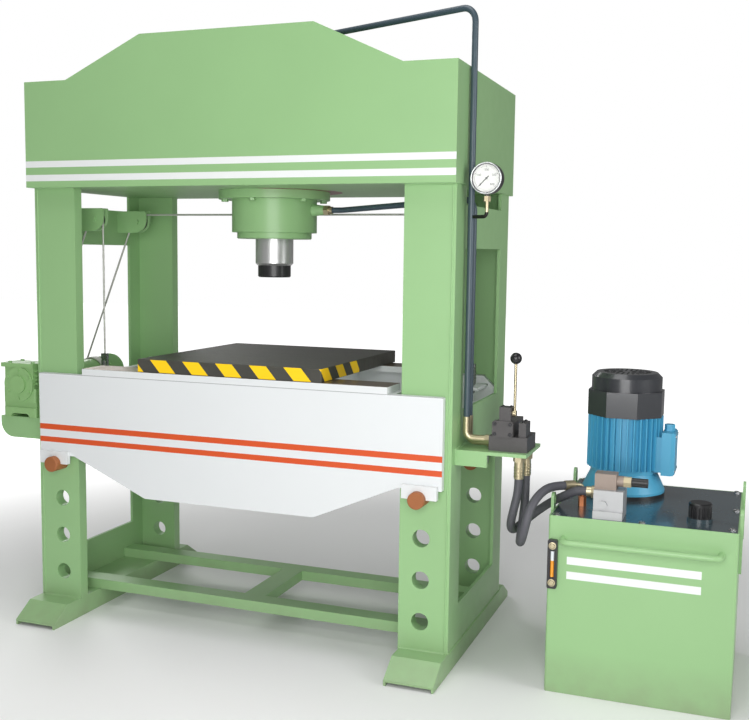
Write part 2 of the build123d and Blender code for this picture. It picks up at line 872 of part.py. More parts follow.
# Winch gearbox with a round cover, ribbed sides, feet and a flange for the worm shaft
box_left_x = winch_x - gearbox_width / 2
box_right_x = winch_x + gearbox_width / 2
box_back_y = gearbox_front_y + gearbox_depth
worm_y = (gearbox_front_y + box_back_y) / 2
with BuildPart() as winch_gearbox:
    box_between((box_left_x, gearbox_front_y, gearbox_bottom_z), (box_right_x, box_back_y, gearbox_shoulder_z))
    fillet(winch_gearbox.edges().filter_by(Axis.Z), gearbox_corner)
    box_between(
        (winch_x - gearbox_waist / 2, gearbox_front_y + gearbox_rib, gearbox_shoulder_z),
        (winch_x + gearbox_waist / 2, box_back_y - gearbox_rib, gearbox_top_z),
    )
    box_between(
        (winch_x - gearbox_cover_diameter / 2, gearbox_front_y, gearbox_shoulder_z),
        (winch_x + gearbox_cover_diameter / 2, gearbox_front_y + gearbox_rib, gearbox_top_z),
    )
    box_between(
        (box_left_x - gearbox_lid_shift, gearbox_front_y - gearbox_lid_edge, gearbox_top_z),
        (box_right_x - gearbox_lid_shift, box_back_y - 4 * gearbox_lid_edge, gearbox_top_z + gearbox_lid),
    )
    with BuildSketch(front(gearbox_front_y - 1)):
        with Locations((winch_x, gearbox_bottom_z)):
            SlotOverall(gearbox_foot_gap, gearbox_foot_gap / 3)
    extrude(amount=-gearbox_depth - 2, mode=Mode.SUBTRACT)
    with BuildSketch(front(gearbox_front_y)):
        with Locations((winch_x, gearbox_groove_z)):
            Rectangle(gearbox_width + 2, gearbox_groove)
    extrude(amount=-gearbox_rib, mode=Mode.SUBTRACT)
    for rib in range(gearbox_ribs):
        rib_z = gearbox_shoulder_z + (rib + 1) * (gearbox_top_z - gearbox_shoulder_z) / (gearbox_ribs + 1)
        box_between(
            (box_left_x, gearbox_front_y + 2 * gearbox_rib, rib_z),
            (box_right_x, box_back_y - 2 * gearbox_rib, rib_z + gearbox_rib),
        )
    with BuildSketch(side(box_left_x - worm_flange_reach)):
        with Locations((worm_y, worm_z)):
            Circle(worm_flange_diameter / 2)
    extrude(amount=worm_flange_reach + gearbox_rib)
    with BuildSketch(side(box_left_x - worm_flange_reach - 1)):
        with Locations((worm_y, worm_z)):
            Circle(worm_shaft_diameter / 2 + running_gap)
    extrude(amount=worm_bore_depth, mode=Mode.SUBTRACT)
    with BuildSketch(front(box_back_y)):
        with Locations((winch_x, winch_z)):
            Circle(winch_shaft_diameter / 2 + output_boss_wall)
    extrude(amount=-output_boss)
    with BuildSketch(front(box_back_y + output_boss)):
        with Locations((winch_x, winch_z)):
            Circle(winch_shaft_diameter / 2 + running_gap)
    extrude(amount=output_bore_depth, mode=Mode.SUBTRACT)
    with BuildSketch(front(gearbox_front_y)):
        with Locations((winch_x, winch_z)):
            Circle(gearbox_cover_diameter / 2)
    extrude(amount=gearbox_cover_thickness)
    with BuildSketch(front(gearbox_front_y - gearbox_cover_thickness)):
        with Locations((winch_x, winch_z)):
            Circle(gearbox_boss_diameter / 2)
    extrude(amount=gearbox_boss_height)
save(winch_gearbox, "winch_gearbox")

# Worm shaft of the winch, with a squared end for its crank
worm_start_x = box_left_x - worm_flange_reach
with BuildPart() as winch_input_shaft:
    with BuildSketch(side(worm_start_x + worm_shoulder)):
        with Locations((worm_y, worm_z)):
            Circle(worm_shaft_diameter / 2)
    extrude(amount=worm_bore_depth - 2 * worm_shoulder)
    with BuildSketch(side(worm_start_x - worm_shaft_reach)):
        with Locations((worm_y, worm_z)):
            Rectangle(worm_square, worm_square)
    extrude(amount=worm_shaft_reach + worm_shoulder)
save(winch_input_shaft, "winch_input_shaft")

# Winch bracket: shelf with a rounded skirt, and the round-topped bearing plate behind
bracket_left_x = -frame_half_x - bracket_reach
with BuildPart() as winch_bracket:
    with BuildSketch(front(bracket_front_y)) as skirt:
        with Locations(((bracket_left_x - frame_half_x) / 2, gearbox_bottom_z - bracket_skirt / 2)):
            Rectangle(bracket_reach, bracket_skirt)
        fillet(skirt.vertices().group_by(Axis.X)[0].sort_by(Axis.Y)[0], bracket_corner)
    extrude(amount=-bracket_plate)
    box_between(
        (bracket_left_x, bracket_front_y + bracket_plate, gearbox_bottom_z - bracket_plate),
        (-frame_half_x, bracket_back_y, gearbox_bottom_z),
    )
    with BuildSketch(front(bearing_plate_y)):
        with Locations((winch_x, winch_z)):
            Circle(bearing_plate_radius)
        with Locations(((winch_x - bearing_plate_radius - frame_half_x) / 2, winch_z - 80)):
            Rectangle(-frame_half_x - winch_x + bearing_plate_radius, 160)
        with Locations((winch_x, winch_z)):
            Circle(winch_shaft_diameter / 2 + running_gap, mode=Mode.SUBTRACT)
    extrude(amount=-bearing_plate_thickness)
save(winch_bracket, "winch_bracket")

# Winch drum on its shaft
with BuildPart() as winch_drum:
    for front_y, back_y, diameter in (
        (box_back_y - 30, bearing_plate_y + bearing_plate_thickness + 4, winch_shaft_diameter),
        (drum_front_y, drum_back_y, drum_diameter),
        (drum_front_y, drum_front_y + drum_flange, drum_flange_diameter),
        (drum_back_y - drum_flange, drum_back_y, drum_flange_diameter),
    ):
        with BuildSketch(front(front_y)):
            with Locations((winch_x, winch_z)):
                Circle(diameter / 2)
        extrude(amount=front_y - back_y)
save(winch_drum, "winch_drum")


def pulley_wheel(x, y):
    """Grooved pulley turned about a bolt along Y."""
    root = pulley_rope_radius - rope_radius - rope_seat_gap
    rim = pulley_diameter / 2
    groove = rope_radius + 2 * rope_seat_gap
    bore = pulley_bolt_diameter / 2 + running_gap
    half = pulley_width / 2
    with BuildPart() as wheel:
        with BuildSketch(Plane((press_x + x, y, pulley_z), x_dir=(0, 0, 1), z_dir=(1, 0, 0))):
            with BuildLine():
                Polyline(
                    (bore, -half),
                    (rim, -half),
                    (rim, -groove - 2),
                    (root, -groove),
                    (root, groove),
                    (rim, groove + 2),
                    (rim, half),
                    (bore, half),
                    close=True,
                )
            make_face()
        revolve(axis=Axis((press_x + x, y, pulley_z), (0, 1, 0)))
    return wheel


pulley_places = {
    "left_front_pulley": (-pulley_x, front_pulley_y),
    "left_rear_pulley": (-pulley_x, rear_pulley_y),
    "right_pulley": (pulley_x, rear_pulley_y),
}
for name, (wheel_x, wheel_y) in pulley_places.items():
    save(pulley_wheel(wheel_x, wheel_y), name)

# Pulley brackets: two cheeks on a base plate, with the bolt through them
cheek_inner = pulley_width / 2 + cheek_gap
with BuildPart() as pulley_brackets:
    for wheel_x, wheel_y in pulley_places.values():
        sign = 1 if wheel_x > 0 else -1
        for face_y in (wheel_y - cheek_inner - cheek_plate, wheel_y + cheek_inner):
            with BuildSketch(front(face_y)) as cheek:
                with Locations((sign * (web_inner_x - cheek_reach / 2), (cheek_top_z + cheek_bottom_z) / 2)):
                    Rectangle(cheek_reach, cheek_top_z - cheek_bottom_z)
                tip = cheek.vertices().group_by(Axis.X)[0 if sign > 0 else -1]
                fillet(tip.sort_by(Axis.Y)[0], cheek_round)
                tip = cheek.vertices().group_by(Axis.X)[0 if sign > 0 else -1]
                fillet(tip.sort_by(Axis.Y)[-1], cheek_plate)
            extrude(amount=-cheek_plate)
        base_x = sorted((sign * web_inner_x, sign * (web_inner_x - cheek_plate)))
        box_between((base_x[0], wheel_y - cheek_inner, cheek_bottom_z), (base_x[1], wheel_y + cheek_inner, cheek_top_z))
        with BuildSketch(front(wheel_y - cheek_inner - cheek_plate - 8)):
            with Locations((wheel_x, pulley_z)):
                RegularPolygon(10, 6, major_radius=False)
        extrude(amount=-8)
        with BuildSketch(front(wheel_y - cheek_inner - cheek_plate)):
            with Locations((wheel_x, pulley_z)):
                Circle(pulley_bolt_diameter / 2)
        extrude(amount=-2 * (cheek_inner + cheek_plate))
save(pulley_brackets, "pulley_brackets")

# Ropes: tangent from the drum's outer side to the pulley's, then over the pulley
last_turn = 300
rise_x = -pulley_x - winch_x
rise_z = pulley_z - winch_z
centre_distance = (rise_x**2 + rise_z**2) ** 0.5
lean = atan2(rise_z, rise_x) + acos((drum_rope_radius - pulley_rope_radius) / centre_distance)
drum_tangent = (winch_x + drum_rope_radius * cos(lean), winch_z + drum_rope_radius * sin(lean))
pulley_tangent = (-pulley_x + pulley_rope_radius * cos(lean), pulley_z + pulley_rope_radius * sin(lean))
with BuildPart() as winch_ropes:
    with BuildLine(front(front_pulley_y)) as short_rope:
        CenterArc((winch_x, winch_z), drum_rope_radius, degrees(lean) + last_turn, -last_turn)
        Line(drum_tangent, pulley_tangent)
        CenterArc((-pulley_x, pulley_z), pulley_rope_radius, degrees(lean), -degrees(lean))
    with BuildSketch(Plane(short_rope.line @ 0, z_dir=short_rope.line % 0)):
        Circle(rope_radius)
    sweep(path=short_rope.line)
    with BuildLine(front(rear_pulley_y)) as long_rope:
        CenterArc((winch_x, winch_z), drum_rope_radius, degrees(lean) + last_turn, -last_turn)
        Line(drum_tangent, pulley_tangent)
        CenterArc((-pulley_x, pulley_z), pulley_rope_radius, degrees(lean), 90 - degrees(lean))
        Line((-pulley_x, pulley_z + pulley_rope_radius), (pulley_x, pulley_z + pulley_rope_radius))
        CenterArc((pulley_x, pulley_z), pulley_rope_radius, 90, -90)
    with BuildSketch(Plane(long_rope.line @ 0, z_dir=long_rope.line % 0)):
        Circle(rope_radius)
    sweep(path=long_rope.line)
    for start_y, step in ((front_pulley_y, rope_pitch), (rear_pulley_y, -rope_pitch)):
        for turn in range(1, rope_turns):
            with BuildSketch(side(winch_x)):
                with Locations((start_y + turn * step, winch_z + drum_rope_radius)):
                    Circle(rope_radius)
            revolve(axis=Axis((press_x + winch_x, 0, winch_z), (0, 1, 0)))
save(winch_ropes, "winch_ropes")

# Rope ends that drop from the pulleys to the table
with BuildPart() as rope_drops:
    for clip_x, clip_y in clip_places:
        with BuildSketch(level(clip_top_z)):
            with Locations((clip_x, clip_y)):
                Circle(rope_radius)
        extrude(amount=pulley_z - clip_top_z)
save(rope_drops, "rope_drops")

# Oil pipes: one over the head to the cap end, one through the side frame to the rod end
valve_port_z = shelf_top_z + manifold_height / 2
rod_pipe_x = side_boss_end_x + nut_length + collar_length
cap_pipe_z = cap_boss_end_z + nut_length
with BuildPart() as oil_pipes:
    tube(
        [
            (cap_port_x, 0, cap_pipe_z),
            (cap_port_x, 0, pipe_top_z - pipe_fall),
            (pipe_x, cap_pipe_y, pipe_top_z),
            (pipe_x, cap_pipe_y, pipe_foot_z),
        ],
        pipe_bend,
        pipe_diameter,
    )
    tube(
        [
            (rod_pipe_x, 0, side_port_z),
            (rod_pipe_x + pipe_lead, 0, side_port_z),
            (pipe_x, rod_pipe_y, rod_pipe_z),
            (pipe_x, rod_pipe_y, pipe_foot_z),
        ],
        pipe_corner,
        pipe_diameter,
    )
save(oil_pipes, "oil_pipes")

# Fittings: elbows from the pipes into the manifold, union nuts and the gauge tap
gauge_foot_z = gauge_z - gauge_diameter / 2 - gauge_nut_drop
tap_start = Vector(pipe_x, cap_pipe_y, gauge_tap_z)
tap_start += Vector(gauge_x - pipe_x, gauge_y - cap_pipe_y, 0).normalized() * pipe_diameter / 2
with BuildPart() as pipe_fittings:
    for pipe_y, turn_z in ((cap_pipe_y, valve_port_z + elbow_step), (rod_pipe_y, valve_port_z - elbow_step)):
        tube(
            [
                (pipe_x, pipe_y, pipe_foot_z),
                (pipe_x, pipe_y, turn_z),
                (manifold_x - nut_length, pipe_y, turn_z),
            ],
            elbow_bend,
            elbow_diameter,
        )
        with BuildSketch(side(manifold_x - nut_length)):
            with Locations((pipe_y, turn_z)):
                RegularPolygon(nut_across / 2, 6, major_radius=False)
        extrude(amount=nut_length)
    with BuildSketch(side(side_boss_end_x)):
        with Locations((0, side_port_z)):
            RegularPolygon(port_nut_across / 2, 6, major_radius=False)
    extrude(amount=nut_length)
    with BuildSketch(side(side_boss_end_x + nut_length)):
        with Locations((0, side_port_z)):
            Circle(collar_diameter / 2)
    extrude(amount=collar_length)
    with BuildSketch(level(cap_boss_end_z)):
        with Locations((cap_port_x, 0)):
            RegularPolygon(port_nut_across / 2, 6, major_radius=False)
    extrude(amount=nut_length)
    with BuildSketch(level(gauge_foot_z)):
        with Locations((gauge_x, gauge_y)):
            RegularPolygon(gauge_nut_across / 2, 6, major_radius=False)
    extrude(amount=gauge_nut_drop - gauge_stem_length)
    tube(
        [tuple(tap_start), (gauge_x, gauge_y, gauge_tap_z), (gauge_x, gauge_y, gauge_foot_z)],
        gauge_stem_bend,
        gauge_stem_diameter,
    )
save(pipe_fittings, "pipe_fittings")

# Gauge: case with its stem and a recess for the dial, needle and glass
gauge_front_y = gauge_y - gauge_depth / 2
with BuildPart() as gauge_case:
    with BuildSketch(front(gauge_front_y)):
        with Locations((gauge_x, gauge_z)):
            Circle(gauge_diameter / 2)
    extrude(amount=-gauge_depth)
    with BuildSketch(level(gauge_z - gauge_diameter / 2 - gauge_stem_length)):
        with Locations((gauge_x, gauge_y)):
            Circle(gauge_nut_across / 2 - 3)
    extrude(amount=2 * gauge_stem_length)
    with BuildSketch(front(gauge_front_y)):
        with Locations((gauge_x, gauge_z)):
            Circle(gauge_diameter / 2 - gauge_bezel)
    extrude(amount=-dial_recess, mode=Mode.SUBTRACT)
    with BuildSketch(front(gauge_front_y + dial_recess)):
        with Locations((gauge_x, gauge_z)):
            Circle(needle_spindle_diameter / 2 + running_gap)
    extrude(amount=-needle_spindle_depth - 1, mode=Mode.SUBTRACT)
save(gauge_case, "gauge_case")

needle_x = gauge_x + needle_length / 3 * cos(radians(needle_angle))
needle_z = gauge_z + needle_length / 3 * sin(radians(needle_angle))
with BuildPart() as gauge_needle:
    with BuildSketch(front(gauge_front_y + dial_recess - 1)):
        with Locations((gauge_x, gauge_z)):
            Circle(needle_hub_diameter / 2)
        with Locations((needle_x, needle_z)):
            SlotOverall(4 / 3 * needle_length, needle_width, rotation=needle_angle)
    extrude(amount=1)
    with BuildSketch(front(gauge_front_y + dial_recess + needle_spindle_depth)):
        with Locations((gauge_x, gauge_z)):
            Circle(needle_spindle_diameter / 2)
    extrude(amount=needle_spindle_depth + 1)
save(gauge_needle, "gauge_needle")

with BuildPart() as gauge_glass:
    with BuildSketch(front(gauge_front_y)):
        with Locations((gauge_x, gauge_z)):
            Circle(gauge_diameter / 2 - gauge_bezel)
    extrude(amount=-glass_thickness)
save(gauge_glass, "gauge_glass")

# Shelf for the hand valve: plate with a turned-down edge
with BuildPart() as valve_shelf:
    box_between(
        (frame_half_x, shelf_front_y, shelf_top_z - shelf_plate),
        (frame_half_x + shelf_length, shelf_front_y + shelf_depth, shelf_top_z),
    )
    box_between(
        (frame_half_x, shelf_front_y, shelf_top_z - shelf_skirt),
        (frame_half_x + shelf_skirt_length, shelf_front_y + shelf_plate, shelf_top_z - shelf_plate),
    )
save(valve_shelf, "valve_shelf")

# Manifold block with a blank plate on top, right of the valve
manifold_top_z = shelf_top_z + manifold_height
manifold_end_x = manifold_x + manifold_length
with BuildPart() as manifold:
    box_between(
        (manifold_x, manifold_front_y, shelf_top_z),
        (manifold_end_x, manifold_front_y + manifold_depth, manifold_top_z),
    )
    box_between(
        (manifold_end_x - blank_edge - blank_width, manifold_front_y + blank_edge, manifold_top_z),
        (manifold_end_x - blank_edge, manifold_front_y + blank_edge + blank_depth, manifold_top_z + blank_height),
    )
save(manifold, "manifold")

# Valve body with its spool bore, front cap and pivot block
valve_front_y = manifold_front_y + valve_set_back
spool_z = valve_z + valve_height / 2
pivot_z = valve_z + valve_cap_height + pivot_block_height / 2
pivot_top_z = valve_z + valve_cap_height + pivot_block_height
pivot_y = valve_front_y + pivot_set_back
with BuildPart() as valve_body:
    box_between(
        (valve_x - valve_width / 2, valve_front_y, valve_z),
        (valve_x + valve_width / 2, valve_front_y + valve_length, valve_z + valve_height),
    )
    with BuildSketch(front(valve_front_y)) as cap:
        with Locations((valve_x, valve_z + valve_cap_height / 2)):
            Rectangle(valve_width + 2 * valve_cap_edge, valve_cap_height - 2 * pin_seat_gap)
        chamfer(cap.vertices(), valve_cap_chamfer)
    extrude(amount=valve_cap_length)
    box_between(
        (pivot_x - pivot_block_width / 2, pivot_y - pivot_block_depth, valve_z + valve_height),
        (pivot_x + pivot_block_width / 2, pivot_y + pivot_block_depth / 2, pivot_top_z),
    )
    with BuildSketch(front(valve_front_y)):
        with Locations((valve_x, spool_z)):
            Circle(spool_diameter / 2 + running_gap)
    extrude(amount=spool_end_wall - valve_length, mode=Mode.SUBTRACT)
    with BuildSketch(side(pivot_x + pivot_block_width / 2)):
        with Locations((pivot_y, pivot_z)):
            Circle(pivot_pin_diameter / 2)
    extrude(amount=lever_hub_length + 1)
save(valve_body, "valve_body")

# Valve spool: a shaft with two necks, sliding inside the body
spool_start_y = valve_front_y + (valve_length - spool_end_wall - spool_length) / 2
spool_radius = spool_diameter / 2
spool_land = spool_length / spool_lands
with BuildPart() as valve_spool:
    for land in range(spool_lands):
        land_y = spool_start_y + land * spool_land
        with BuildSketch(front(land_y)):
            with Locations((valve_x, spool_z)):
                Circle(spool_radius - spool_neck_step * (land % 2))
        extrude(amount=-spool_land)
save(valve_spool, "valve_spool")

# Hand lever on the pivot's end, with a ball knob
hub_low_x = pivot_x + pivot_block_width / 2 + pin_seat_gap
lever_x = hub_low_x + lever_hub_length / 2
with BuildPart() as hand_lever:
    with BuildSketch(side(hub_low_x)):
        with Locations((pivot_y, pivot_z)):
            Circle(lever_hub_diameter / 2)
            Circle(pivot_pin_diameter / 2 + running_gap, mode=Mode.SUBTRACT)
    extrude(amount=lever_hub_length)
    with BuildSketch(level(pivot_z + lever_hub_diameter / 2 - 3)):
        with Locations((lever_x, pivot_y)):
            Circle(lever_diameter / 2)
    extrude(amount=lever_length - lever_hub_diameter / 2)
    with Locations((press_x + lever_x, pivot_y, pivot_z + lever_length)):
        Sphere(knob_diameter / 2)
save(hand_lever, "hand_lever")

# Hoses in their free, hanging shape: from the fittings under the shelf to the power pack
shelf_bottom_z = shelf_top_z - shelf_plate
hose_a_top = (manifold_x + hose_a_in, cap_pipe_y, shelf_bottom_z - hose_fitting_length)
hose_b_top = (manifold_x + hose_b_in, manifold_front_y + hose_b_back, shelf_bottom_z - hose_fitting_length)
block_x_low, block_y_low = block_corner
hose_a_end = (block_x_low - hose_fitting_short, block_y_low + block_port_y, cover_top_z + block_port_z)
elbow_top = (tank_x + elbow_x, tank_front_y + elbow_y, cover_top_z + elbow_height)
elbow_out = Vector(cos(radians(elbow_turn)), sin(radians(elbow_turn)), 0)
ferrule_end = Vector(*elbow_top) - elbow_out * elbow_reach
hose_b_end = ferrule_end - elbow_out * ferrule_length
hose_a_loop = [
    (200, -284, 592),
    (184, -262, 532),
    (182, -212, 498),
    (204, -162, 514),
    (240, -143, 548),
    (283, -155, 585),
    (321, -194, 616),
    (354, -228, 640),
    (384, -252, 659),
]
hose_b_loop = [
    (222, -203, 604),
    (224, -250, 534),
    (232, -322, 488),
    (250, -376, 512),
    (266, -397, 570),
    (276, -380, 624),
    (292, -335, 660),
    (314, -286, 679),
]
hose_a_points = [
    hose_a_top,
    (hose_a_top[0], hose_a_top[1], hose_a_top[2] - hose_lead),
    *[(frame_half_x + out, y, z) for out, y, z in hose_a_loop],
    (hose_a_end[0] - hose_end_lead, hose_a_end[1], hose_a_end[2]),
    hose_a_end,
]
hose_b_points = [
    hose_b_top,
    (hose_b_top[0], hose_b_top[1], hose_b_top[2] - hose_lead),
    *[(frame_half_x + out, y, z) for out, y, z in hose_b_loop],
    tuple(hose_b_end - elbow_out * hose_end_lead),
    tuple(hose_b_end),
]
for points, name in ((hose_a_points, "pressure_hose"), (hose_b_points, "return_hose")):
    with BuildPart() as hose:
        tube(points, bend_radii(points), hose_diameter)
    save(hose, name)

# Hose fittings: hexagon swivels with ferrules under the shelf, at the pump and on the tank
with BuildPart() as hose_fittings:
    for top in (hose_a_top, hose_b_top):
        with BuildSketch(level(shelf_bottom_z - swivel_length)):
            with Locations((top[0], top[1])):
                RegularPolygon(hose_fitting_across / 2, 6, major_radius=False)
        extrude(amount=swivel_length)
        with BuildSketch(level(top[2])):
            with Locations((top[0], top[1])):
                Circle(hose_diameter / 2 + ferrule_wall)
        extrude(amount=hose_fitting_length - swivel_length)
    with BuildSketch(side(hose_a_end[0])):
        with Locations((hose_a_end[1], hose_a_end[2])):
            Circle(hose_diameter / 2 + ferrule_wall)
    extrude(amount=hose_fitting_short - port_swivel_length)
    with BuildSketch(side(block_x_low - port_swivel_length)):
        with Locations((hose_a_end[1], hose_a_end[2])):
            RegularPolygon(hose_fitting_across / 2, 6, major_radius=False)
    extrude(amount=port_swivel_length)
    tube([hose_b_end, ferrule_end], 0, hose_diameter + 2 * ferrule_wall)
    tube(
        [ferrule_end, elbow_top, (elbow_top[0], elbow_top[1], cover_top_z + elbow_nut / 2)],
        return_tube_diameter,
        return_tube_diameter,
    )
    with BuildSketch(level(cover_top_z)):
        with Locations((elbow_top[0], elbow_top[1])):
            RegularPolygon(elbow_nut_across / 2, 6, major_radius=False)
    extrude(amount=elbow_nut)
save(hose_fittings, "hose_fittings")

# Tank: a box of sheet with rounded upright edges and a ledge for its cover
tank_middle = (tank_x + tank_length / 2, tank_front_y + tank_depth / 2)
tank_inner_length = tank_length - 2 * tank_wall
tank_inner_depth = tank_depth - 2 * tank_wall
with BuildPart() as tank:
    with BuildSketch(level(0)):
        with Locations(tank_middle):
            RectangleRounded(tank_length, tank_depth, tank_corner)
    extrude(amount=cover_top_z)
    with BuildSketch(level(tank_wall)):
        with Locations(tank_middle):
            RectangleRounded(tank_inner_length, tank_inner_depth, tank_corner - tank_wall)
    extrude(amount=cover_top_z, mode=Mode.SUBTRACT)
    with BuildSketch(level(tank_height - tank_wall)):
        with Locations(tank_middle):
            RectangleRounded(tank_inner_length, tank_inner_depth, tank_corner - tank_wall)
            Rectangle(tank_inner_length - 2 * cover_ledge, tank_inner_depth - 2 * cover_ledge, mode=Mode.SUBTRACT)
    extrude(amount=tank_wall)
save(tank, "tank")

# Cover laid in the tank's rim, with the filler's neck and an opening under the coupling
filler_place = (tank_end_x - filler_in, tank_front_y + filler_y)
filler_spigot_radius = filler_cap_diameter / 2 - filler_spigot_step
with BuildPart() as tank_cover:
    with BuildSketch(level(tank_height)):
        with Locations(tank_middle):
            Rectangle(tank_inner_length - 2 * cover_gap, tank_inner_depth - 2 * cover_gap)
        with Locations(motor_axis):
            Circle(coupling_diameter / 2, mode=Mode.SUBTRACT)
    extrude(amount=cover_plate)
    chamfer(tank_cover.edges().filter_by(Axis.Z), tank_corner - tank_wall)
    with BuildSketch(level(cover_top_z)):
        with Locations(filler_place):
            Circle(filler_neck_diameter / 2)
    extrude(amount=filler_neck_height)
    with BuildSketch(level(tank_height)):
        with Locations(filler_place):
            Circle(filler_spigot_radius)
    extrude(amount=cover_plate + filler_neck_height, mode=Mode.SUBTRACT)
save(tank_cover, "tank_cover")

# Lifting lugs on the tank's sides and the round rail on its front
with BuildPart() as tank_handles:
    for low_x in (tank_x - lug_bar_thickness, tank_end_x):
        for middle_y in (lug_bar_front_y, lug_bar_rear_y):
            with BuildSketch(side(low_x)) as bar:
                with Locations((middle_y, (lug_bar_bottom_z + lug_bar_top_z) / 2)):
                    Rectangle(lug_bar_width, lug_bar_top_z - lug_bar_bottom_z)
                fillet(bar.vertices().group_by(Axis.Y)[-1], lug_bar_width / 2 - 1)
                with Locations((middle_y, lug_bar_top_z - 2 * lug_hole_radius)):
                    Circle(lug_hole_radius, mode=Mode.SUBTRACT)
            extrude(amount=lug_bar_thickness)
    rail_low_x = tank_x + rail_bar_inset
    rail_high_x = tank_end_x - rail_bar_inset
    rail_y = tank_front_y - rail_bar_standoff
    tube(
        [
            (rail_low_x, tank_front_y, rail_bar_z),
            (rail_low_x, rail_y, rail_bar_z),
            (rail_high_x, rail_y, rail_bar_z),
            (rail_high_x, tank_front_y, rail_bar_z),
        ],
        rail_bar_bend,
        rail_bar_diameter,
    )
save(tank_handles, "tank_handles")

# Level gauge on the tank's front, held by two bolts
level_middle_x = tank_x + level_x
with BuildPart() as level_gauge:
    with BuildSketch(front(tank_front_y)):
        with Locations((level_middle_x, level_z)):
            RectangleRounded(level_width, level_height, level_corner)
    extrude(amount=level_depth)
    with BuildSketch(front(tank_front_y - level_depth)):
        with Locations((level_middle_x, level_z)):
            RectangleRounded(level_width - 3 * level_corner, level_height - 4 * level_depth, level_corner / 2)
    extrude(amount=-level_depth / 3, mode=Mode.SUBTRACT)
    with BuildSketch(front(tank_front_y - level_depth)):
        with Locations((level_middle_x, level_z - level_bolt_rise), (level_middle_x, level_z + level_bolt_rise)):
            RegularPolygon(level_bolt_across / 2, 6, major_radius=False)
    extrude(amount=level_depth / 3)
save(level_gauge, "level_gauge")

# Filler cap: fluted grip, plain crown and a spigot in the neck
cap_low_z = cover_top_z + filler_neck_height
with BuildPart() as filler_cap:
    with BuildSketch(level(cap_low_z)):
        with Locations(filler_place):
            Circle(filler_cap_diameter / 2)
            with PolarLocations(filler_cap_diameter / 2, filler_flutes):
                Circle(filler_flute_radius, mode=Mode.SUBTRACT)
    extrude(amount=filler_cap_height - filler_cap_crown)
    with BuildSketch(level(cap_low_z + filler_cap_height - filler_cap_crown)):
        with Locations(filler_place):
            Circle(filler_cap_diameter / 2)
    extrude(amount=filler_cap_crown)
    chamfer(filler_cap.faces().sort_by(Axis.Z)[-1].edges(), filler_cap_crown / 3)
    with BuildSketch(level(cover_top_z + 1)):
        with Locations(filler_place):
            Circle(filler_spigot_radius - pin_seat_gap)
    extrude(amount=filler_neck_height)
save(filler_cap, "filler_cap")

# Bell housing between the cover and the motor: a flange and a cone, hollow for the coupling
bell_top_z = cover_top_z + bell_height
bell_bore_radius = coupling_diameter / 2 + bell_bore_gap
with BuildPart() as bell_housing:
    with BuildSketch(turned(*motor_axis)):
        with BuildLine():
            Polyline(
                (bell_bore_radius, cover_top_z),
                (bell_flange_diameter / 2, cover_top_z),
                (bell_flange_diameter / 2, cover_top_z + bell_flange_height),
                (bell_top_diameter / 2, bell_top_z),
                (bell_bore_radius, bell_top_z),
                close=True,
            )
        make_face()
    revolve(axis=axis_up(*motor_axis))
save(bell_housing, "bell_housing")

# Motor body: seat, finned frame with a bored middle, and the seat of the terminal box
motor_base_z = bell_top_z
motor_top_z = motor_base_z + motor_body_height
motor_radius = motor_body_diameter / 2
terminal_x = motor_axis[0] + motor_radius + fin_reach + terminal_gap
with BuildPart() as motor_body:
    with BuildSketch(level(motor_base_z)):
        with Locations(motor_axis):
            Circle(motor_seat_diameter / 2)
    extrude(amount=motor_seat_height)
    with BuildSketch(level(motor_base_z + motor_seat_height)):
        with Locations(motor_axis):
            Circle(motor_radius)
            with PolarLocations(motor_radius, fin_count):
                Rectangle(2 * fin_reach, fin_thickness)
    extrude(amount=motor_body_height - motor_seat_height - cowl_lap)
    with BuildSketch(level(motor_top_z - cowl_lap)):
        with Locations(motor_axis):
            Circle(motor_radius)
    extrude(amount=cowl_lap)
    with BuildSketch(level(motor_base_z)):
        with Locations(motor_axis):
            Circle(motor_shaft_diameter / 2 + running_gap)
    extrude(amount=motor_body_height, mode=Mode.SUBTRACT)
    seat_low_z = motor_base_z + terminal_seat_rise
    box_between(
        (motor_axis[0] + motor_radius - terminal_seat_sink, motor_axis[1] - terminal_seat_width / 2, seat_low_z),
        (terminal_x, motor_axis[1] + terminal_seat_width / 2, seat_low_z + terminal_seat_height),
    )
save(motor_body, "motor_body")

# Terminal box with chamfered outer corners and its cable gland
with BuildPart() as terminal_box:
    box_between(
        (terminal_x, motor_axis[1] - terminal_width / 2, motor_base_z),
        (terminal_x + terminal_depth, motor_axis[1] + terminal_width / 2, motor_base_z + terminal_height),
    )
    chamfer(terminal_box.faces().sort_by(Axis.X)[-1].edges().filter_by(Axis.Z), terminal_chamfer)
    with BuildSketch(level(motor_base_z + terminal_height)):
        with Locations((terminal_x + terminal_depth / 2, motor_axis[1])):
            RegularPolygon(terminal_gland_across / 2, 6, major_radius=False)
    extrude(amount=terminal_gland_height)
save(terminal_box, "terminal_box")

# Cowl: octagonal skirt, round top with a chamfered edge, open below
cowl_low_z = motor_top_z - cowl_lap
with BuildPart() as motor_cowl:
    with BuildSketch(level(cowl_low_z)):
        with Locations(motor_axis):
            Circle(cowl_diameter / 2)
            RegularPolygon(cowl_skirt_across / 2, 8, major_radius=False, rotation=22.5)
    extrude(amount=cowl_skirt_height)
    with BuildSketch(level(cowl_low_z + cowl_skirt_height)):
        with Locations(motor_axis):
            Circle(cowl_diameter / 2)
    extrude(amount=cowl_height)
    chamfer(motor_cowl.faces().sort_by(Axis.Z)[-1].edges(), cowl_chamfer)
    with BuildSketch(level(cowl_low_z)):
        with Locations(motor_axis):
            Circle(cowl_diameter / 2 - cowl_wall)
    extrude(amount=cowl_skirt_height + cowl_height - cowl_crown, mode=Mode.SUBTRACT)
save(motor_cowl, "motor_cowl")

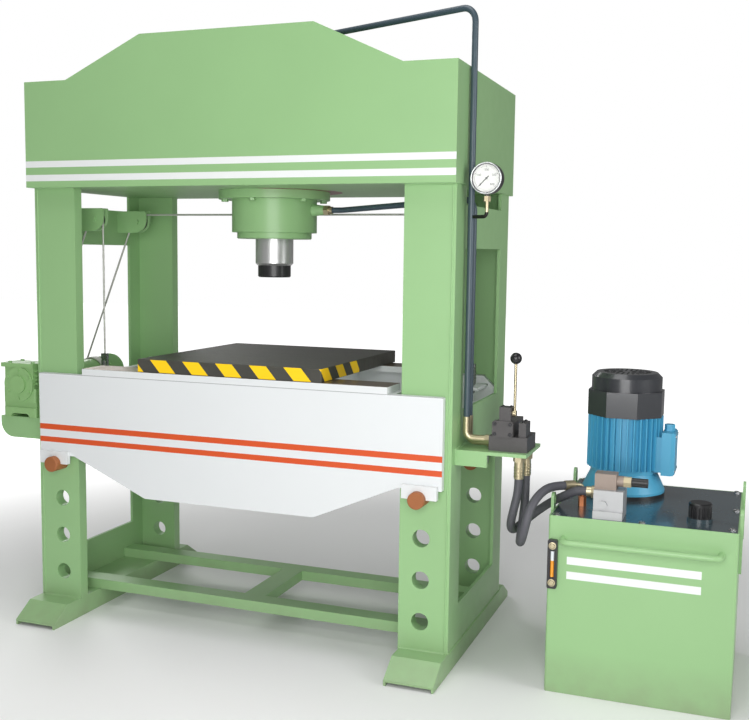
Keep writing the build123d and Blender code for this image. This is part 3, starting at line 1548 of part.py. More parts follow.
# Rotor: shaft, fan and the coupling half in the bell housing
coupling_low_z = cover_top_z + coupling_rise
fan_low_z = motor_top_z + fan_rise
with BuildPart() as motor_rotor:
    for low_z, high_z, diameter in (
        (coupling_low_z, motor_base_z - terminal_gap, coupling_diameter),
        (coupling_low_z, fan_low_z + fan_height + fan_hub_height, motor_shaft_diameter),
        (fan_low_z, fan_low_z + fan_height, fan_hub_diameter),
    ):
        with BuildSketch(level(low_z)):
            with Locations(motor_axis):
                Circle(diameter / 2)
        extrude(amount=high_z - low_z)
    with BuildSketch(level(fan_low_z)):
        with Locations(motor_axis):
            with PolarLocations(fan_diameter / 4, fan_blades):
                Rectangle(fan_diameter / 2, fin_thickness)
    extrude(amount=fan_height)
save(motor_rotor, "motor_rotor")

# Silver block on the cover, with a step, a side plug and the pressure port
with BuildPart() as pump_block:
    box_between(
        (block_x_low, block_y_low, cover_top_z),
        (block_x_low + block_length, block_y_low + block_depth, cover_top_z + 26),
    )
    box_between(
        (block_x_low, block_y_low + 8, cover_top_z + 26),
        (block_x_low + block_length, block_y_low + block_depth, cover_top_z + block_height),
    )
    with BuildSketch(front(block_y_low + 8)):
        with Locations((block_x_low + block_length / 3, cover_top_z + block_height / 2)):
            RegularPolygon(13, 6, major_radius=False)
    extrude(amount=10)
save(pump_block, "pump_block")

# Relief valve on the block: body, threaded neck and lock nut
relief_y = block_y_low + block_depth / 2
relief_base_z = cover_top_z + block_height
relief_axis_z = relief_base_z + relief_height / 2
relief_x = block_x_low + relief_size + 14
neck_end_x = relief_x + relief_neck_length + relief_nut_length
with BuildPart() as relief_valve:
    box_between(
        (block_x_low, relief_y - relief_size / 2, relief_base_z),
        (relief_x, relief_y + relief_size / 2, relief_base_z + relief_height),
    )
    with BuildSketch(side(relief_x)):
        with Locations((relief_y, relief_axis_z)):
            Circle(relief_neck_diameter / 2)
    extrude(amount=relief_neck_length)
    with BuildSketch(side(relief_x + relief_neck_length)):
        with Locations((relief_y, relief_axis_z)):
            RegularPolygon(relief_neck_diameter / 2 - 2, 6, major_radius=False)
    extrude(amount=relief_nut_length)
    with BuildSketch(side(relief_x + 4)):
        with Locations((relief_y, relief_axis_z)):
            Circle(knob_spindle_diameter / 2 + running_gap)
    extrude(amount=100, mode=Mode.SUBTRACT)
save(relief_valve, "relief_valve")

# Setting knob of the relief valve, on its spindle
with BuildPart() as relief_knob:
    with BuildSketch(side(relief_x + 8)):
        with Locations((relief_y, relief_axis_z)):
            Circle(knob_spindle_diameter / 2)
    extrude(amount=neck_end_x - relief_x)
    with BuildSketch(side(neck_end_x + 1)):
        with Locations((relief_y, relief_axis_z)):
            Circle(relief_knob_diameter / 2)
            with PolarLocations(relief_knob_diameter / 2, 12):
                Circle(2, mode=Mode.SUBTRACT)
    extrude(amount=relief_knob_length)
save(relief_knob, "relief_knob")
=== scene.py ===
import bpy
import numpy as np
from collections import namedtuple
from math import cos, pi, radians, sin
from mathutils import Matrix, Vector


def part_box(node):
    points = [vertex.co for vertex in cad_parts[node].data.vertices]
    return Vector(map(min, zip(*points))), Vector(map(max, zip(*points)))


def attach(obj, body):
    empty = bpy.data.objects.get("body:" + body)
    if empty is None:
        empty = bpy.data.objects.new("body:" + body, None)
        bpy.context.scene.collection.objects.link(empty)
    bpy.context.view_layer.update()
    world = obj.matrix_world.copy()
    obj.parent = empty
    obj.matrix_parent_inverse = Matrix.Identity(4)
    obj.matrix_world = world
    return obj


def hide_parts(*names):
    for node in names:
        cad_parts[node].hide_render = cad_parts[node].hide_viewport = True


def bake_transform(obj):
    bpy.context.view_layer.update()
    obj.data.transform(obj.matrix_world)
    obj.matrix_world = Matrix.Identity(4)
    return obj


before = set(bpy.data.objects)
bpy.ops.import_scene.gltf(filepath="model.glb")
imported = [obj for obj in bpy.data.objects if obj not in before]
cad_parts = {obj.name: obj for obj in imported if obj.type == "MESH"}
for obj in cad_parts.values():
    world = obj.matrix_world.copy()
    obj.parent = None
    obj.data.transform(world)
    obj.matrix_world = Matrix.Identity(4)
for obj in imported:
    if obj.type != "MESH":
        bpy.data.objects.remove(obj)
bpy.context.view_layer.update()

# Places read from the frame, in metres
head_low, head_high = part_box("head_plates")
tank_low, tank_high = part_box("tank")
bolster_low, bolster_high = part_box("bolster_plate")
rails_low, rails_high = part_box("table_rails")
PRESS_X = (head_low[0] + head_high[0]) / 2
HEAD_FRONT_Y = head_low[1]
HEAD_LOW_Z = head_low[2]
TABLE_FRONT_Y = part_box("table_front_plate")[0][1]
X_AXIS, FRONT_AXIS, UP_AXIS = (1, 0, 0), (0, -1, 0), (0, 0, 1)


# Mesh helpers
def mesh_piece(name, points, faces, body, finish, slot, smooth=True):
    """A piece from an array of points and a list of faces, riding on a body of the press if one is named."""
    mesh = bpy.data.meshes.new(name)
    mesh.from_pydata(np.asarray(points, float).tolist(), [], faces)
    mesh.update()
    mesh.polygons.foreach_set("use_smooth", np.full(len(mesh.polygons), smooth))
    piece = bpy.data.objects.new(name, mesh)
    bpy.context.scene.collection.objects.link(piece)
    mesh.materials.append(finish)
    if body:
        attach(piece, body)
    return piece


def grid_faces(rows, columns, closed=True):
    """Quads of a grid of rows by columns points, whose columns close on themselves if it is closed."""
    steps = columns if closed else columns - 1
    row, column = np.meshgrid(np.arange(rows - 1), np.arange(steps), indexing="ij")
    here = row * columns + column
    beside = row * columns + (column + 1) % columns
    return np.stack([here, beside, beside + columns, here + columns], axis=-1).reshape(-1, 4).tolist()


def tube_faces(rows, columns):
    """Quads of a closed grid, with one face over its first row and one over its last."""
    first = list(range(columns))
    last = list(range((rows - 1) * columns, rows * columns))
    return grid_faces(rows, columns) + [first[::-1], last]


def frame_of(axis):
    """Two unit vectors square to an axis and to each other, and the axis at unit length."""
    axis = np.asarray(axis, float) / np.linalg.norm(axis)
    helper = np.array([0.0, 0.0, 1.0]) if abs(axis[2]) < 0.9 else np.array([1.0, 0.0, 0.0])
    first = np.cross(helper, axis)
    first /= np.linalg.norm(first)
    return first, np.cross(axis, first), axis


def ring_of(axis, sides):
    """Unit vectors at equal angles round an axis, the angles, and the axis at unit length."""
    first, second, axis = frame_of(axis)
    angle = np.linspace(0, 2 * pi, sides, endpoint=False)
    return np.cos(angle)[:, None] * first + np.sin(angle)[:, None] * second, angle, axis


def lathe(profile, place, axis, sides=32):
    """Points and faces of a profile of (radius, height) pairs turned about an axis through a place.

    Each point is the place, plus its radius times a unit vector round the axis, plus its height times the
    axis.
    """
    radius, height = np.asarray(profile, float).T
    ring, _, axis = ring_of(axis, sides)
    points = np.asarray(place, float) + radius[:, None, None] * ring + height[:, None, None] * axis
    return points.reshape(-1, 3), tube_faces(len(radius), sides)


def straight_tube(start, end, size_of, rings, sides):
    """Points and faces of a tube from start to end.

    size_of gives its radius from the share of the way along and the angle round it.
    """
    start, end = np.asarray(start, float), np.asarray(end, float)
    ring, angle, _ = ring_of(end - start, sides)
    along = np.linspace(0, 1, rings)[:, None]
    size = size_of(along, angle) + 0 * angle
    points = start + along[..., None] * (end - start) + size[..., None] * ring
    return points.reshape(-1, 3), tube_faces(rings, sides)


def merged(parts):
    """One array of points and one list of faces from several."""
    points, faces, start = [], [], 0
    for part_points, part_faces in parts:
        points.append(part_points)
        faces += [[start + i for i in face] for face in part_faces]
        start += len(part_points)
    return np.concatenate(points), faces


def joined_piece(name, parts, finish, slot, smooth=False):
    """Several closed shapes as one piece on the press frame."""
    return mesh_piece(name, *merged(parts), "frame", finish, slot, smooth)


def screw_head(place, axis, radius, height):
    """Socket screw: a disc with a rounded rim and a hollow of half its radius."""
    inner = radius / 2
    rim = [(radius, 0), (radius, height * 0.8), (radius * 0.9, height)]
    return lathe(rim + [(inner, height), (inner, height * 0.4)], place, axis, 18)


def hex_head(place, axis, radius, height):
    """Hexagon head with a slightly domed top."""
    profile = [(radius, 0), (radius, height * 0.85), (radius * 0.88, height), (radius * 0.3, height)]
    return lathe(profile, place, axis, 6)


WELD_RIPPLE, WELD_PITCH = 0.0008, 0.006


def weld_bead(start, end, radius=0.004):
    """Weld along a straight seam: its radius plus a ripple times the sine of one turn for each pitch."""
    length = np.linalg.norm(np.subtract(end, start))

    def swelling(along, angle):
        return radius + WELD_RIPPLE * np.sin(2 * pi * along * length / WELD_PITCH)

    return straight_tube(start, end, swelling, max(int(length / WELD_PITCH * 3), 6), 8)


# Material helpers
Made = namedtuple("Made", "finish tree shader where place mixed")
COAT_ROUGHNESS, RELIEF_DEPTH = 0.12, 0.0006


def linear(red, green, blue):
    """Linear colour of an sRGB colour in 0 to 255."""
    value = np.array([red, green, blue]) / 255
    return tuple(np.where(value < 0.04045, value / 12.92, ((value + 0.055) / 1.055) ** 2.4).tolist())


def plain_finish(name, colour, roughness=0.4, metallic=0.0, coat=0.0):
    """Material with a plain Principled shader; returns it, its tree and the shader."""
    finish = bpy.data.materials.new(name)
    finish.use_nodes = True
    tree = finish.node_tree
    shader = tree.nodes["Principled BSDF"]
    shader.inputs["Base Color"].default_value = (*colour, 1)
    shader.inputs["Roughness"].default_value = roughness
    shader.inputs["Metallic"].default_value = metallic
    shader.inputs["Coat Weight"].default_value = coat
    shader.inputs["Coat Roughness"].default_value = COAT_ROUGHNESS
    return finish, tree, shader


def placed_finish(name, colour, roughness=0.4, metallic=0.0, coat=0.0):
    """Plain material with the Object coordinates of its point, in metres in the frame of the press."""
    finish, tree, shader = plain_finish(name, colour, roughness, metallic, coat)
    where = tree.nodes.new("ShaderNodeTexCoord").outputs["Object"]
    split = tree.nodes.new("ShaderNodeSeparateXYZ")
    tree.links.new(where, split.inputs[0])
    return Made(finish, tree, shader, where, split.outputs, colour)


def calc(tree, operation, first, second=None):
    """Math node of two sockets or numbers."""
    node = tree.nodes.new("ShaderNodeMath")
    node.operation = operation
    for index, value in enumerate((first, second)):
        if isinstance(value, (int, float)):
            node.inputs[index].default_value = value
        elif value is not None:
            tree.links.new(value, node.inputs[index])
    return node.outputs[0]


def above(tree, value, limit):
    """One where value is more than limit, else nothing."""
    return calc(tree, "GREATER_THAN", value, limit)


def below(tree, value, limit):
    """One where value is less than limit, else nothing."""
    return calc(tree, "LESS_THAN", value, limit)


def all_of(tree, *masks):
    """Product of masks."""
    result = masks[0]
    for mask in masks[1:]:
        result = calc(tree, "MULTIPLY", result, mask)
    return result


def band(tree, value, low, high):
    """One where value lies between low and high, else nothing."""
    return all_of(tree, above(tree, value, low), below(tree, value, high))


def distance(tree, first, second):
    """Square root of the sum of two squares."""
    squares = [calc(tree, "MULTIPLY", side, side) for side in (first, second)]
    return calc(tree, "SQRT", calc(tree, "ADD", *squares))


def speckle(tree, where, scale, detail=3.0, stretch=(1, 1, 1)):
    """Noise over the Object coordinates, stretched along an axis where asked."""
    mapping = tree.nodes.new("ShaderNodeMapping")
    mapping.inputs["Scale"].default_value = stretch
    tree.links.new(where, mapping.inputs[0])
    noise = tree.nodes.new("ShaderNodeTexNoise")
    noise.inputs["Scale"].default_value = scale
    noise.inputs["Detail"].default_value = detail
    tree.links.new(mapping.outputs[0], noise.inputs["Vector"])
    return noise.outputs["Fac"]


def blend_colour(tree, mask, under, over):
    """Colour over where mask is one, else colour under; each is a colour or a socket."""
    mix = tree.nodes.new("ShaderNodeMix")
    mix.data_type = "RGBA"
    tree.links.new(mask, mix.inputs["Factor"])
    for socket, colour in (("A", under), ("B", over)):
        target = [i for i in mix.inputs if i.name == socket and i.type == "RGBA"][0]
        if isinstance(colour, tuple):
            target.default_value = (*colour, 1)
        else:
            tree.links.new(colour, target)
    return [o for o in mix.outputs if o.type == "RGBA"][0]


def recolour(made, mask, over):
    """The material with colour over wherever mask is one."""
    mixed = blend_colour(made.tree, mask, made.mixed, over)
    made.tree.links.new(mixed, made.shader.inputs["Base Color"])
    return made._replace(mixed=mixed)


def metal_where(made, mask, amount):
    """Gives the material the metallic amount wherever mask is one, and none elsewhere."""
    made.tree.links.new(calc(made.tree, "MULTIPLY", mask, amount), made.shader.inputs["Metallic"])


def uneven(made, amount, scale, rough, bump, bump_scale, stretch=(1, 1, 1)):
    """The material with a colour, gloss and relief that vary a little, as on paint and rolled steel.

    Its colour runs between itself less and plus the amount, with noise of the scale; its roughness runs
    between the two in rough, with noise nine times as fine; its relief has the strength of bump and is as
    fine as bump_scale. All three are drawn out along an axis where the stretch is small.
    """
    tree, shader, colour = made.tree, made.shader, made.mixed
    dark = tuple(c * (1 - amount) for c in colour)
    light = tuple(min(1.0, c * (1 + amount)) for c in colour)
    mixed = blend_colour(tree, speckle(tree, made.where, scale, 4.0, stretch), dark, light)
    tree.links.new(mixed, shader.inputs["Base Color"])
    spread = tree.nodes.new("ShaderNodeMapRange")
    spread.inputs["To Min"].default_value = rough[0]
    spread.inputs["To Max"].default_value = rough[1]
    tree.links.new(speckle(tree, made.where, scale * 9, 3.0, stretch), spread.inputs["Value"])
    tree.links.new(spread.outputs[0], shader.inputs["Roughness"])
    if bump:
        relief = tree.nodes.new("ShaderNodeBump")
        relief.inputs["Strength"].default_value = bump
        relief.inputs["Distance"].default_value = RELIEF_DEPTH
        tree.links.new(speckle(tree, made.where, bump_scale, 2.0, stretch), relief.inputs["Height"])
        tree.links.new(relief.outputs[0], shader.inputs["Normal"])
    return made._replace(mixed=mixed)


# Colours
PRESS_GREEN = linear(147, 188, 132)
WINCH_GREEN = linear(142, 184, 122)
STRIPE_WHITE = linear(232, 235, 234)
TABLE_WHITE = linear(222, 225, 226)
STRIPE_ORANGE = linear(212, 80, 28)
RAIL_SHADOW_GREY = linear(150, 152, 154)
HAZARD_YELLOW = linear(252, 206, 0)
PRIMER_RED = linear(118, 56, 44)
DUST_BROWN = linear(128, 122, 108)
BOLSTER_GREY = linear(84, 83, 78)
RAIL_DARK_STEEL_AND_REFLECTION, RAIL_WORN = linear(96, 84, 72), linear(138, 120, 102)
ZINC_YELLOW = linear(196, 184, 152)
COPPER = linear(166, 106, 72)
TAP_DARK = linear(58, 56, 54)
MOTOR_BLUE = linear(76, 166, 202)
BELL_FOOT_BLACK = linear(34, 36, 38)
BALL_BLACK = linear(30, 30, 32)
RUBBER_GREY = linear(82, 82, 88)
OIL_ORANGE, GLASS_PALE = linear(244, 158, 30), linear(226, 232, 236)
RAM_GREY = (0.68, 0.68, 0.68)

DUST_REACH, DUST_AMOUNT, DUST_SCALE = 0.16, 0.7, 14


def floor_dust(made):
    """The material with a ragged film of dust that fades out with the height above the floor."""
    tree = made.tree
    height = calc(tree, "DIVIDE", made.place[2], DUST_REACH)
    fading = calc(tree, "MAXIMUM", calc(tree, "SUBTRACT", 1.0, height), 0.0)
    film = all_of(tree, fading, speckle(tree, made.where, DUST_SCALE, 5.0))
    return recolour(made, calc(tree, "MULTIPLY", film, DUST_AMOUNT), DUST_BROWN)


def paint(name, colour, amount=0.05, rough=(0.34, 0.48), coat=0.12, peel=0.06):
    """Sprayed enamel: slightly uneven colour, fine orange-peel relief, dust low down and a clear gloss."""
    enamel = placed_finish(name, colour, coat=coat)
    return floor_dust(uneven(enamel, amount, scale=2.5, rough=rough, bump=peel, bump_scale=420))


def steel(name, colour, amount=0.2, rough=(0.3, 0.5), metallic=0.9, bump=0.08):
    """Bare, plated or blackened steel with faint mill marks."""
    metal = placed_finish(name, colour, metallic=metallic)
    return uneven(metal, amount, scale=12, rough=rough, bump=bump, bump_scale=260)


# How far behind a face its stripes and other paint reach, for plates, bolster edges and rails
FACE_SKIN, EDGE_SKIN, RAIL_SKIN = 0.001, 0.0008, 0.0006


def front_stripes(made, rows, face_y):
    """One inside the height bands in rows, on the face that looks forwards at face_y."""
    bands = [band(made.tree, made.place[2], *row) for row in rows]
    either = calc(made.tree, "MAXIMUM", *bands)
    return all_of(made.tree, either, below(made.tree, made.place[1], face_y + FACE_SKIN))


# Enamels with stripes: heights above the floor of each pair
HEAD_STRIPES = ((1.729, 1.753), (1.781, 1.805))
TABLE_STRIPES = ((0.760, 0.782), (0.710, 0.731))
TANK_STRIPES = ((0.447, 0.473), (0.397, 0.423))
TANK_STRIPE_ENDS = (PRESS_X + 1.261, PRESS_X + 1.690)
# Height of the painted shadow band under the rails
RAIL_SHADOW_HEIGHT = 0.0022

green = paint("press green enamel", PRESS_GREEN).finish

head = paint("head enamel with white stripes", PRESS_GREEN)
head = recolour(head, front_stripes(head, HEAD_STRIPES, HEAD_FRONT_Y), STRIPE_WHITE)

table = paint("table enamel with orange stripes and painted rail shadow", TABLE_WHITE, 0.02)
table = recolour(table, front_stripes(table, TABLE_STRIPES, TABLE_FRONT_Y), STRIPE_ORANGE)
# Thin grey band just under the rails: painted shadow of the rails' overhanging edge on the plates
table = recolour(table, band(table.tree, table.place[2], rails_low[2] - RAIL_SHADOW_HEIGHT, rails_low[2]), RAIL_SHADOW_GREY)

tank = paint("tank enamel with white stripes", PRESS_GREEN)
tank_stripes = front_stripes(tank, TANK_STRIPES, tank_low[1])
tank_stripes = all_of(tank.tree, tank_stripes, band(tank.tree, tank.place[0], *TANK_STRIPE_ENDS))
tank = recolour(tank, tank_stripes, STRIPE_WHITE)

# Head floor: green with a ragged half ring of red primer beside the cylinder's flange
PRIMER_RADIUS, PRIMER_RAGGED, PRIMER_START = 0.285, 0.03, 0.05
head_floor = paint("head floor enamel with primer", PRESS_GREEN)
tree, place = head_floor.tree, head_floor.place
away_x = calc(tree, "SUBTRACT", place[0], PRESS_X)
ragged = calc(tree, "MULTIPLY", speckle(tree, head_floor.where, 30), PRIMER_RAGGED)
ragged = calc(tree, "ADD", distance(tree, away_x, place[1]), ragged)
primer = all_of(
    tree, below(tree, ragged, PRIMER_RADIUS), below(tree, place[2], HEAD_LOW_Z + FACE_SKIN),
    above(tree, away_x, PRIMER_START),
)
head_floor = recolour(head_floor, primer, PRIMER_RED)

# Bolster: planed steel with slanted yellow hazard stripes on its front and right edges
STRIPE_PITCH, STRIPE_WIDTH, STRIPE_SLOPE = 0.139, 0.069, 0.86
FRONT_ROW_START, SIDE_ROW_START, SIDE_ROW_END = PRESS_X - 0.325, -0.409, -0.03
bolster = placed_finish("bolster steel with hazard stripes", BOLSTER_GREY)
bolster = uneven(bolster, 0.25, 10, (0.45, 0.65), bump=0.15, bump_scale=200, stretch=(1, 6, 1))
tree, place = bolster.tree, bolster.place
drop = calc(tree, "MULTIPLY", calc(tree, "SUBTRACT", bolster_high[2], place[2]), STRIPE_SLOPE)


def slanted(tree, along, start, drop):
    """One inside the stripes of a row that starts at start and is shifted by the drop below the top."""
    shifted = calc(tree, "SUBTRACT", calc(tree, "SUBTRACT", along, start), drop)
    return below(tree, calc(tree, "FLOORED_MODULO", shifted, STRIPE_PITCH), STRIPE_WIDTH)


front_row = all_of(
    tree, slanted(tree, place[0], FRONT_ROW_START, drop), below(tree, place[1], bolster_low[1] + EDGE_SKIN),
)
side_row = all_of(
    tree, slanted(tree, place[1], SIDE_ROW_START, drop), above(tree, place[0], bolster_high[0] - EDGE_SKIN),
    below(tree, place[1], SIDE_ROW_END),
)
hazard = calc(tree, "MAXIMUM", front_row, side_row)
bolster = recolour(bolster, hazard, HAZARD_YELLOW)
metal_where(bolster, calc(tree, "SUBTRACT", 1.0, hazard), 0.6)

# Rails: white enamel on their edges; on top, ground steel with worn streaks, its dark brown colour partly the
# steel's own and partly a painted reflection of the dark bolster
rails = paint("rail with enamelled edges", TABLE_WHITE, 0.02)
wear = speckle(rails.tree, rails.where, 18, 4.0, (0.4, 3, 1))
# Dark brown of the rail tops: partly the steel's colour, partly a painted reflection of the bolster
ground = blend_colour(rails.tree, wear, RAIL_DARK_STEEL_AND_REFLECTION, RAIL_WORN)
rail_top = above(rails.tree, rails.place[2], rails_high[2] - RAIL_SKIN)
rails = recolour(rails, rail_top, ground)
metal_where(rails, rail_top, 0.7)

# Bell housing: blue, and black from the cover up to a little above it
BELL_FOOT_TOP_Z = tank_high[2] + 0.014
bell = paint("bell housing enamel", MOTOR_BLUE, 0.06)
bell = recolour(bell, below(bell.tree, bell.place[2], BELL_FOOT_TOP_Z), BELL_FOOT_BLACK)

# Relief valve: phosphated casting with a zinc lock nut
RELIEF_NUT_X = PRESS_X + 1.4298
relief = steel("phosphated casting with a lock nut", linear(150, 136, 126), 0.12, (0.45, 0.6), 0.3)
relief = recolour(relief, above(relief.tree, relief.place[0], RELIEF_NUT_X), ZINC_YELLOW)

# Pipe fittings: zinc, with the gauge's tap in dark steel under its nut
TAP_X, TAP_LOW_Z, TAP_NUT_Z = PRESS_X + 0.887, 1.50, 1.612
pipe_ends = steel("fittings with a dark gauge tap", ZINC_YELLOW, 0.12, (0.28, 0.45), 0.85)
tree, place = pipe_ends.tree, pipe_ends.place
tap = all_of(tree, above(tree, place[0], TAP_X), band(tree, place[2], TAP_LOW_Z, TAP_NUT_Z))
pipe_ends = recolour(pipe_ends, tap, TAP_DARK)

# Hose fittings: zinc, with a copper nut under the return elbow
COPPER_LOW_X, COPPER_HIGH_X = PRESS_X + 1.262, PRESS_X + 1.294
COPPER_TOP_Z = tank_high[2] + 0.058
hose_ends = steel("fittings with a copper nut", ZINC_YELLOW, 0.12, (0.28, 0.45), 0.85)
tree, place = hose_ends.tree, hose_ends.place
nut = all_of(tree, band(tree, place[0], COPPER_LOW_X, COPPER_HIGH_X), below(tree, place[2], COPPER_TOP_Z))
hose_ends = recolour(hose_ends, nut, COPPER)

# Hand lever: zinc rod with a black ball
BALL_LOW_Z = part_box("hand_lever")[1][2] - 0.0395
lever = placed_finish("lever with a black ball", ZINC_YELLOW)
lever = uneven(lever, 0.1, 12, (0.2, 0.35), bump=0.05, bump_scale=260)
ball = above(lever.tree, lever.place[2], BALL_LOW_Z)
lever = recolour(lever, ball, BALL_BLACK)
metal_where(lever, calc(lever.tree, "SUBTRACT", 1.0, ball), 0.9)

# Ram: ground steel with fine light and dark colour streaks along its stroke, which are painted highlights;
# its roughness and relief are streaked the same way
ram = placed_finish("ground ram steel with painted highlight streaks", RAM_GREY, metallic=0.75)
ram_steel = uneven(ram, 0.2, 45, (0.26, 0.42), bump=0.05, bump_scale=400, stretch=(1, 1, 0.03)).finish

# Gauge glass: clear, with only its gloss to see
glass, _, shader = plain_finish("gauge glass", (0.95, 0.97, 0.97), 0.03)
shader.inputs["Alpha"].default_value = 0.1

# Other finishes
table_plain = paint("table enamel", TABLE_WHITE, 0.02).finish
dark_steel = steel("blackened bolt steel", linear(70, 70, 72), 0.2, (0.35, 0.5)).finish
pin_primer = steel("pin primer", linear(158, 96, 54), 0.15, (0.45, 0.65), 0.1).finish
bright_steel = steel("ground shaft steel", linear(170, 170, 172), 0.12, (0.2, 0.35)).finish
zinc = steel("yellow zinc plating", ZINC_YELLOW, 0.14, (0.25, 0.42)).finish
rope_steel = steel("galvanised rope wire", linear(196, 196, 190), 0.15, (0.4, 0.55), 0.4).finish
pipe_slate = paint("pipe slate enamel", linear(62, 78, 88), 0.08).finish
black_enamel = paint("black enamel", linear(38, 38, 40), 0.15).finish
valve_iron = steel("valve casting", linear(82, 80, 80), 0.15, (0.45, 0.65), 0.3, 0.25).finish
motor_blue = paint("motor blue enamel", MOTOR_BLUE, 0.06).finish
cowl_dark = paint("cowl dark enamel", linear(50, 52, 56), 0.08, (0.25, 0.38), 0.4).finish
block_silver = steel("anodised block", linear(178, 179, 180), 0.05, (0.35, 0.5), 0.35, 0.05).finish
cover_slate = paint("cover slate enamel", linear(58, 72, 78), 0.03, (0.22, 0.3), 0.4, 0.0).finish
winch_green = paint("winch green enamel", WINCH_GREEN, 0.08).finish
black_plastic = plain_finish("black moulded plastic", linear(26, 26, 28), 0.35)[0]
rubber = placed_finish("hose rubber", RUBBER_GREY)
rubber = uneven(rubber, 0.12, 30, (0.45, 0.65), bump=0.25, bump_scale=900).finish

# Finishes of the CAD pieces
FINISHES = (
    (green, ("uprights", "side_webs", "feet", "base_ties", "head_stiffeners", "cylinder_barrel",
             "cylinder_gland", "flange_bolts", "pulley_brackets", "winch_bracket", "valve_shelf",
             "tank_handles")),
    (head.finish, ("head_plates",)),
    (head_floor.finish, ("head_floor_plate",)),
    (tank.finish, ("tank",)),
    (cover_slate, ("tank_cover",)),
    (table.finish, ("table_front_plate", "table_rear_plate")),
    (table_plain, ("table_saddles", "table_ribs")),
    (rails.finish, ("table_rails",)),
    (bolster.finish, ("bolster_plate",)),
    (pin_primer, ("left_front_pin", "right_front_pin", "left_rear_pin", "right_rear_pin")),
    (winch_green, ("winch_gearbox", "winch_drum")),
    (rope_steel, ("winch_ropes",)),
    (dark_steel, ("left_front_pulley", "left_rear_pulley", "right_pulley")),
    (bright_steel, ("rope_clips", "valve_spool", "motor_rotor", "winch_input_shaft")),
    (ram_steel, ("ram",)),
    (black_enamel, ("ram_nose", "gauge_case", "gauge_needle", "level_gauge")),
    (glass, ("gauge_glass",)),
    (pipe_slate, ("oil_pipes",)),
    (pipe_ends.finish, ("pipe_fittings",)),
    (hose_ends.finish, ("hose_fittings",)),
    (valve_iron, ("manifold", "valve_body")),
    (lever.finish, ("hand_lever",)),
    (bell.finish, ("bell_housing",)),
    (motor_blue, ("motor_body", "terminal_box")),
    (cowl_dark, ("motor_cowl",)),
    (block_silver, ("pump_block",)),
    (relief.finish, ("relief_valve",)),
    (black_plastic, ("filler_cap", "relief_knob")),
)
for finish, nodes in FINISHES:
    for node in nodes:
        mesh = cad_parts[node].data
        mesh.materials.clear()
        mesh.materials.append(finish)

# Hoses
HOSE_DIAMETER = 0.030


def hose(name, node, route):
    """Rubber hose on one smooth spline whose control points are the route, in metres in the press's own x."""
    curve = bpy.data.curves.new(name, "CURVE")
    curve.dimensions = "3D"
    curve.bevel_depth = HOSE_DIAMETER / 2
    curve.bevel_resolution = 6
    curve.resolution_u = 12
    curve.use_fill_caps = True
    spline = curve.splines.new("NURBS")
    spline.points.add(len(route) - 1)
    for point, (x, y, z) in zip(spline.points, route):
        point.co = (PRESS_X + x, y, z, 1)
    spline.order_u = 3
    spline.use_endpoint_u = True
    curve.materials.append(rubber)
    piece = bpy.data.objects.new(name, curve)
    bpy.context.scene.collection.objects.link(piece)
    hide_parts(node)
    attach(piece, "frame")
    plain = curve.copy()
    plain.bevel_depth = 0
    probe = bpy.data.objects.new("probe", plain)
    bpy.context.scene.collection.objects.link(probe)
    line = bpy.data.meshes.new_from_object(probe)
    bpy.data.objects.remove(probe)


PRESSURE_ROUTE = [
    (1.070, -0.270, 0.700), (1.070, -0.270, 0.655), (1.058, -0.284, 0.592), (1.042, -0.262, 0.532),
    (1.040, -0.212, 0.498), (1.062, -0.162, 0.514), (1.098, -0.143, 0.548), (1.141, -0.155, 0.585),
    (1.179, -0.194, 0.616), (1.212, -0.228, 0.640), (1.242, -0.252, 0.659), (1.272, -0.266, 0.678),
    (1.304, -0.266, 0.678),
]
ELBOW_TURN = radians(35)
ELBOW_TOP = np.array([1.278, -0.193, 0.682])
elbow_out = np.array([cos(ELBOW_TURN), sin(ELBOW_TURN), 0])
RETURN_ROUTE = [
    (1.080, -0.200, 0.700), (1.080, -0.200, 0.655), (1.080, -0.203, 0.604), (1.082, -0.250, 0.534),
    (1.090, -0.322, 0.488), (1.108, -0.376, 0.512), (1.124, -0.397, 0.570), (1.134, -0.380, 0.624),
    (1.150, -0.335, 0.660), (1.172, -0.286, 0.679),
    tuple(ELBOW_TOP - 0.099 * elbow_out), tuple(ELBOW_TOP - 0.067 * elbow_out),
]
hose("pressure_hose_rubber", "pressure_hose", PRESSURE_ROUTE)
hose("return_hose_rubber", "return_hose", RETURN_ROUTE)

# Ropes down to the table, which on the press shorten as it rises; here two stranded tubes of fixed length
ROPE_RADIUS, STRANDS, STRAND_DEPTH, STRAND_LAY = 0.004, 6, 0.0009, 0.3
drops_low, drops_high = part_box("rope_drops")
drop_height = drops_high[2] - drops_low[2]


def strands(along, angle):
    """The rope's radius less the depth times half of one minus the cosine of the strands' turns.

    The turns start at the angle round the rope and run on by one for each lay along it.
    """
    phase = angle + 2 * pi * along * drop_height / STRAND_LAY
    return ROPE_RADIUS - STRAND_DEPTH * (1 - np.cos(STRANDS * phase)) / 2


drops = [
    straight_tube((x, y, drops_low[2]), (x, y, drops_high[2]), strands, 240, 12)
    for x, y in (
        (drops_low[0] + ROPE_RADIUS, drops_low[1] + ROPE_RADIUS),
        (drops_high[0] - ROPE_RADIUS, drops_high[1] - ROPE_RADIUS),
    )
]
rope_ends = mesh_piece("rope_ends", *merged(drops), None, rope_steel, "rope_wire")
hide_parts("rope_drops")
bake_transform(rope_ends)

# Pressure gauge: dial, bezel, marks and numbers
dial_white = plain_finish("dial white", linear(246, 246, 242), 0.5)[0]
dial_black = plain_finish("dial print black", linear(24, 24, 24), 0.6)[0]
bezel_steel = steel("polished bezel", linear(214, 216, 218), 0.05, (0.2, 0.3), 0.7).finish

